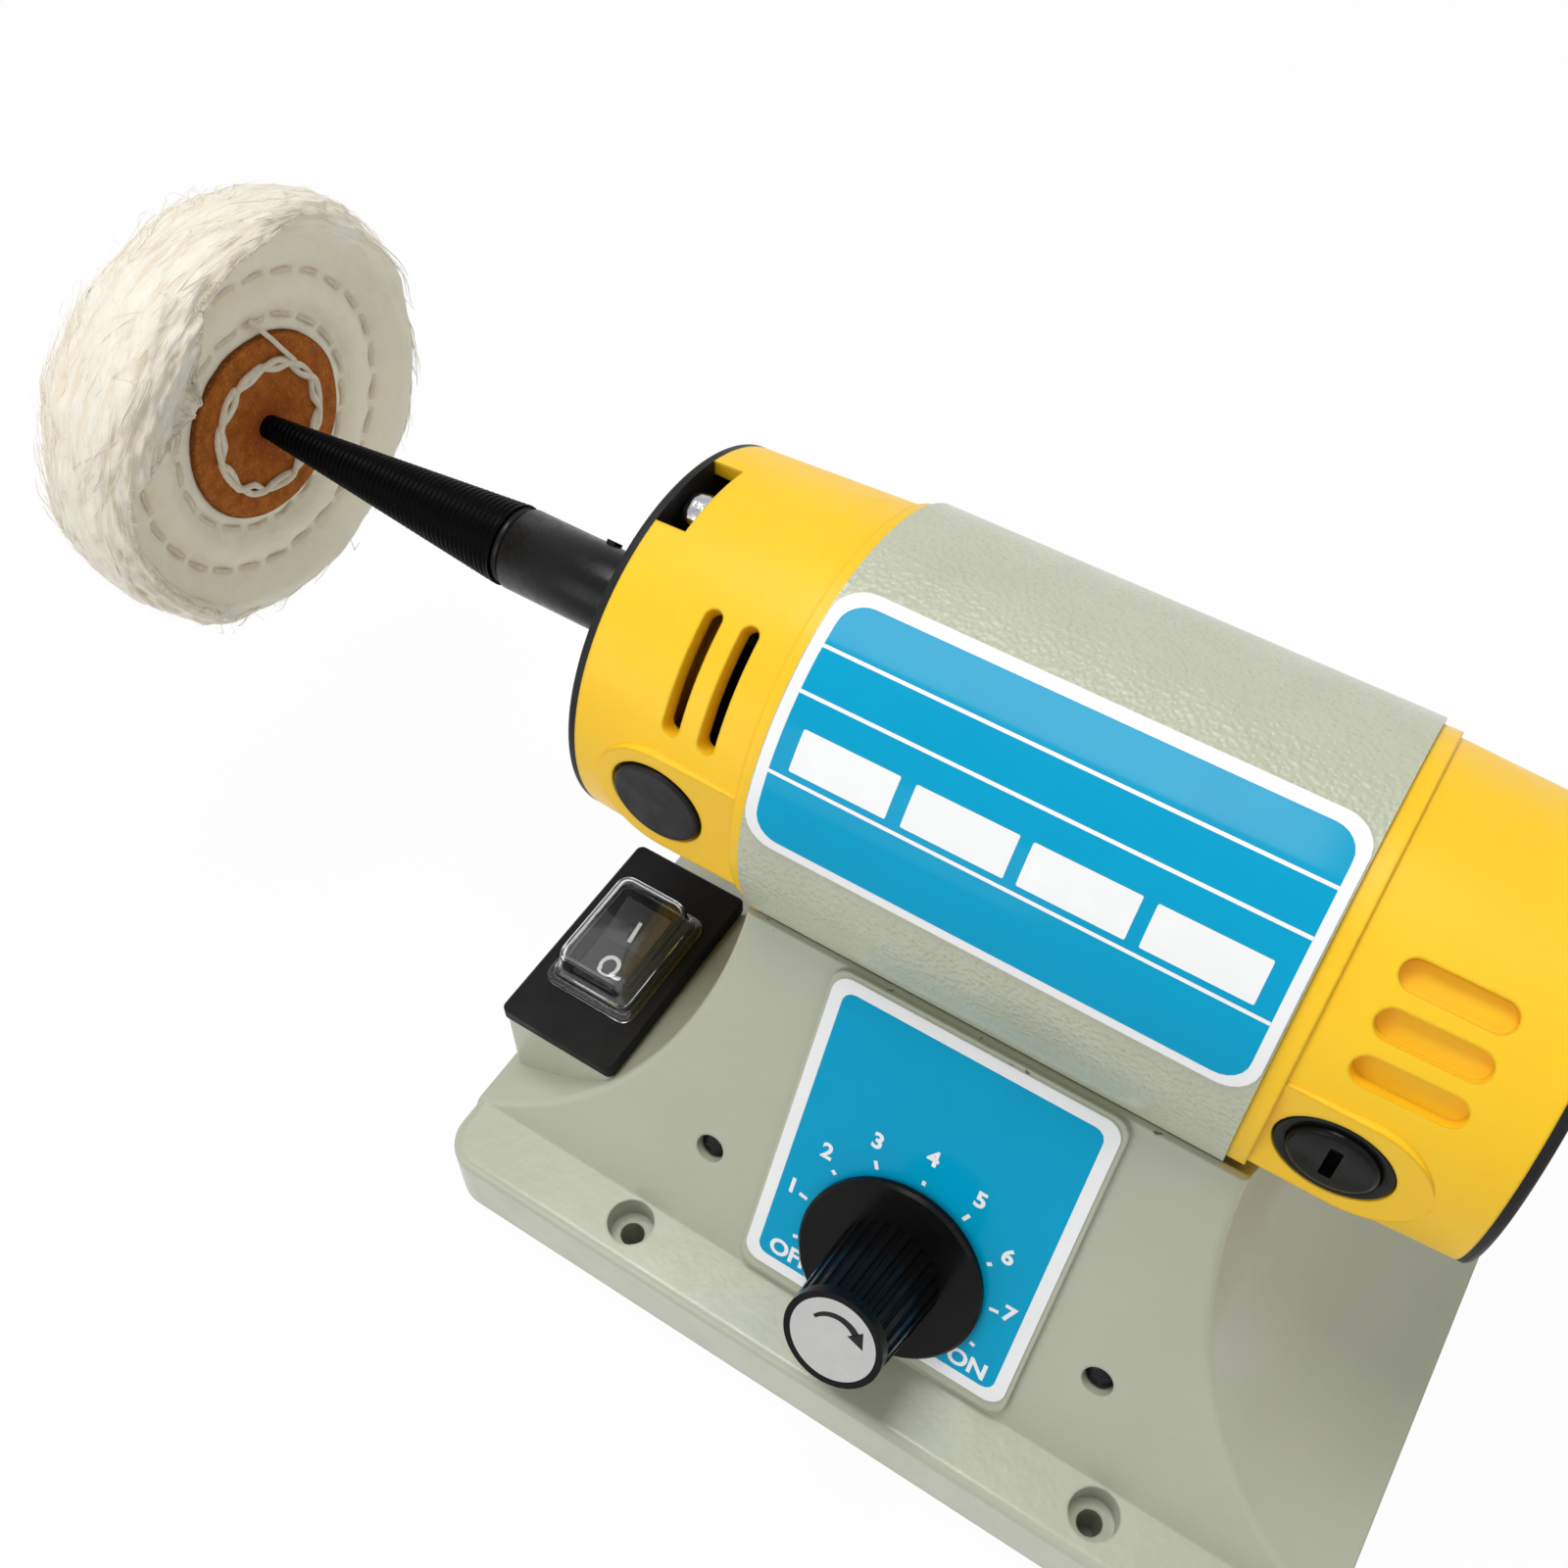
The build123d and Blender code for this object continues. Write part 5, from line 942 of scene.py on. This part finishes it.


# Cross-recessed panel screws: radius and height along a head's outline, and the cross in it, a flat dark
# sheet just over the head that is painted shade for the recess
SCREW_OUTLINE = (
    (1.5, -13.0), (1.5, 0.0), (2.75, 0.0), (2.8, 0.35), (2.6, 0.8), (2.1, 1.1), (1.2, 1.25), (0.4, 1.3),
)
SCREW_SIDES = 32
CROSS_TURN, CROSS_LONG, CROSS_HALF, CROSS_TOP = 0.35, 1.6, 0.28, 1.32


def panel_screw_pieces():
    shape, painted_cross_shade = Shape(), Shape()
    blade = [(-CROSS_LONG, -CROSS_HALF), (CROSS_LONG, -CROSS_HALF), (CROSS_LONG, CROSS_HALF),
             (-CROSS_LONG, CROSS_HALF)]
    for x in (-PANEL_SCREW_X, PANEL_SCREW_X):
        shape.grid([[on_panel(x + r * math.cos(a), KNOB_UP_SLOPE + r * math.sin(a), h - PANEL_SCREW_SINK)
                     for a in ring_turns(SCREW_SIDES)] for r, h in SCREW_OUTLINE], wrap=True, caps=True)
        for turn in (CROSS_TURN, CROSS_TURN + math.pi / 2):
            c, s = math.cos(turn), math.sin(turn)
            corners = [(x + u * c - v * s, KNOB_UP_SLOPE + u * s + v * c) for u, v in blade]
            painted_cross_shade.add([on_panel(*p, CROSS_TOP - PANEL_SCREW_SINK) for p in corners], [(0, 1, 2, 3)])
    obj = shape.build("panel_screw_heads", "housing", black_oxide, "black_steel")
    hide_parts("panel_screws")
    # The crosses are flat dark sheets: painted shade in place of the recesses
    painted_cross_shade.build("panel_screw_cross_shades", "housing", print_black, "black_steel")


# Brush caps: radius and height over the boss along a cap's outline, and width, length and depth of its slot
CAP_OUTLINE = (
    (9.4, -4.0), (9.4, -0.3), (9.1, 0.0), (7.75, 0.0), (7.3, -0.35), (7.2, 0.35), (6.9, 0.75), (6.3, 0.9),
)
CAP_SLOT = (2.1, 8.2, 2.6)
CAP_SIDES, CAP_SHARP = 96, math.radians(40)


def brush_cap_pieces():
    shape = Shape()
    low, high = (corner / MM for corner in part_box("brush_caps"))
    middle = (low + high) / 2
    top = CAP_OUTLINE[-1][1]
    face = (high.y - low.y) / 2 - top
    width, length, depth = CAP_SLOT

    def to_slot(a):
        """Distance from the middle to the side of the slot."""
        return min(width / 2 / max(abs(math.cos(a)), 0.01), length / 2 / max(abs(math.sin(a)), 0.01))

    for side in (-1, 1):
        turns = [-side * a for a in ring_turns(CAP_SIDES)]
        rows = [[(r, h, a) for a in turns] for r, h in CAP_OUTLINE]
        rows += [[(to_slot(a), h, a) for a in turns] for h in (top, top - depth)]
        shape.grid([[(middle.x + r * math.cos(a), middle.y + side * (face + h), middle.z + r * math.sin(a))
                     for r, h, a in row] for row in rows], wrap=True, caps=True)
    obj = shape.build("slotted_caps", "housing", gloss_black, "black_plastic")
    obj.data.set_sharp_from_angle(angle=CAP_SHARP)
    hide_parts("brush_caps")


def brush_springs():
    """Springs behind the brushes, coiled to fill the room of the CAD springs."""
    for name in ("front_brush", "rear_brush"):
        low, high = (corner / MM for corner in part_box(name + "_spring"))
        middle = (low + high) / 2
        coil_r = (high.x - low.x) / 2 - SPRING_WIRE_R
        length = high.y - low.y
        steps = SPRING_TURNS * SPRING_STEPS
        shape = Shape()
        path = []
        for j in range(steps + 1):
            t = j / steps
            a = 2 * math.pi * SPRING_TURNS * t
            y = low.y + SPRING_WIRE_R + (length - 2 * SPRING_WIRE_R) * t
            path.append((middle.x + coil_r * math.cos(a), y, middle.z + coil_r * math.sin(a)))
        shape.tube(path, SPRING_WIRE_R, sides=8)
        obj = shape.build(name + "_coil", "housing", bright_steel, "bright_steel")
        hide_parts(name + "_spring")
        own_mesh(obj)


# Studio, in metres: a low key from the front left, a broad top light and a weak fill from the right
LAMPS = (
    ("key", (-0.5, -1.1, 0.42), 0.7, 2.8),
    ("top", (-0.25, 0.0, 1.25), 0.5, 7.5),
    ("side", (0.8, -0.15, 0.85), 0.7, 0.8),
)
LAMP_AIM = Vector((-0.03, 0.0, 0.08))
SKY_LEVEL = 0.5
FLOOR_REACH, FLOOR_PALE, FLOOR_GLOW = 6.0, 0.86, 0.96
PATCH_SHARE, PATCH_SHADE_PALE = 0.95, 0.3  # patch of floor under the base, darker than the floor: painted shade seen through the bench holes


def seen(tree):
    """1 for rays from the camera, from a mirror or through glass."""
    path = tree.nodes.new("ShaderNodeLightPath")
    out = path.outputs["Is Camera Ray"]
    for other in ("Is Glossy Ray", "Is Transmission Ray"):
        node = tree.nodes.new("ShaderNodeMath")
        node.operation = "MAXIMUM"
        tree.links.new(out, node.inputs[0])
        tree.links.new(path.outputs[other], node.inputs[1])
        out = node.outputs[0]
    return out


def floor_part(name, points, faces, pale, glow_share):
    """Plain floor; the share of glow keeps it white in view, the rest takes the shadow."""
    mesh = bpy.data.meshes.new(name)
    mesh.from_pydata(points, [], faces)
    obj = bpy.data.objects.new(name, mesh)
    bpy.context.scene.collection.objects.link(obj)
    mat = bpy.data.materials.new(name)
    mat.use_nodes = True
    tree = mat.node_tree
    plain = tree.nodes["Principled BSDF"]
    plain.inputs["Base Color"].default_value = (pale, pale, pale, 1)
    plain.inputs["Roughness"].default_value = 0.9
    if glow_share:
        glow = tree.nodes.new("ShaderNodeEmission")
        share = tree.nodes.new("ShaderNodeMath")
        share.operation = "MULTIPLY"
        share.inputs[1].default_value = glow_share
        tree.links.new(seen(tree), share.inputs[0])
        mix = tree.nodes.new("ShaderNodeMixShader")
        tree.links.new(share.outputs[0], mix.inputs["Fac"])
        tree.links.new(plain.outputs["BSDF"], mix.inputs[1])
        tree.links.new(glow.outputs["Emission"], mix.inputs[2])
        tree.links.new(mix.outputs["Shader"], tree.nodes["Material Output"].inputs["Surface"])
    mesh.materials.append(mat)


def floor():
    """White floor with a darker plain patch under the base, painted shade so that the bench holes stay dark.
    """
    def corners(half_x, half_y):
        return [(-half_x, -half_y, 0), (half_x, -half_y, 0), (half_x, half_y, 0), (-half_x, half_y, 0)]

    outer = corners(FLOOR_REACH, FLOOR_REACH)
    inner = corners(BASE_LENGTH / 2 * MM * PATCH_SHARE, BASE_DEPTH / 2 * MM * PATCH_SHARE)
    sides = [(k, (k + 1) % 4, 4 + (k + 1) % 4, 4 + k) for k in range(4)]
    floor_part("floor", outer + inner, sides, FLOOR_PALE, FLOOR_GLOW)
    # The darker patch under the base is painted shade
    floor_part("floor_shade_under_base", inner, [(0, 1, 2, 3)], PATCH_SHADE_PALE, 0.0)


def lights():
    """Even sky that is white in view, and the lamps."""
    world = bpy.data.worlds.new("studio")
    world.use_nodes = True
    tree = world.node_tree
    sky = tree.nodes["Background"]
    sky.inputs["Color"].default_value = (1.0, 1.0, 1.0, 1)
    level = tree.nodes.new("ShaderNodeMapRange")
    level.inputs["To Min"].default_value = SKY_LEVEL
    level.inputs["To Max"].default_value = 1.0
    tree.links.new(seen(tree), level.inputs["Value"])
    tree.links.new(level.outputs["Result"], sky.inputs["Strength"])
    bpy.context.scene.world = world
    for name, place, size, watts in LAMPS:
        light = bpy.data.lights.new(name, "AREA")
        light.size = size
        light.energy = watts
        obj = bpy.data.objects.new(name, light)
        obj.location = place
        obj.rotation_euler = (LAMP_AIM - Vector(place)).to_track_quat("-Z", "Y").to_euler()
        bpy.context.scene.collection.objects.link(obj)


# Camera fitted to the photograph, in metres
CAMERA_PLACE = Vector((0.04675, -0.17505, 0.3333))
CAMERA_RIGHT = Vector((0.84291, 0.53800, 0.00771))
CAMERA_UP = Vector((-0.42813, 0.66196, 0.61523))
CAMERA_FORWARD = Vector((-0.32589, 0.52189, -0.78831))
SENSOR_WIDTH, LENS = 36, 38.897


def camera():
    data = bpy.data.cameras.new("camera")
    data.sensor_width = SENSOR_WIDTH
    data.lens = LENS
    data.clip_start = 0.01
    obj = bpy.data.objects.new("camera", data)
    turned = Matrix((CAMERA_RIGHT, CAMERA_UP, -CAMERA_FORWARD)).transposed().to_4x4()
    obj.matrix_world = Matrix.Translation(CAMERA_PLACE) @ turned
    bpy.context.scene.collection.objects.link(obj)
    bpy.context.scene.camera = obj


spindle_piece()
buff_fluff(buff_piece())
buff_stitches()
leather_pieces()
rating_pieces()
dial_print()
knob_arrow()
rocker_marks()
boot_piece()
panel_screw_pieces()
brush_cap_pieces()
brush_springs()
floor()
lights()
camera()
bpy.context.scene.view_settings.view_transform = "Standard"
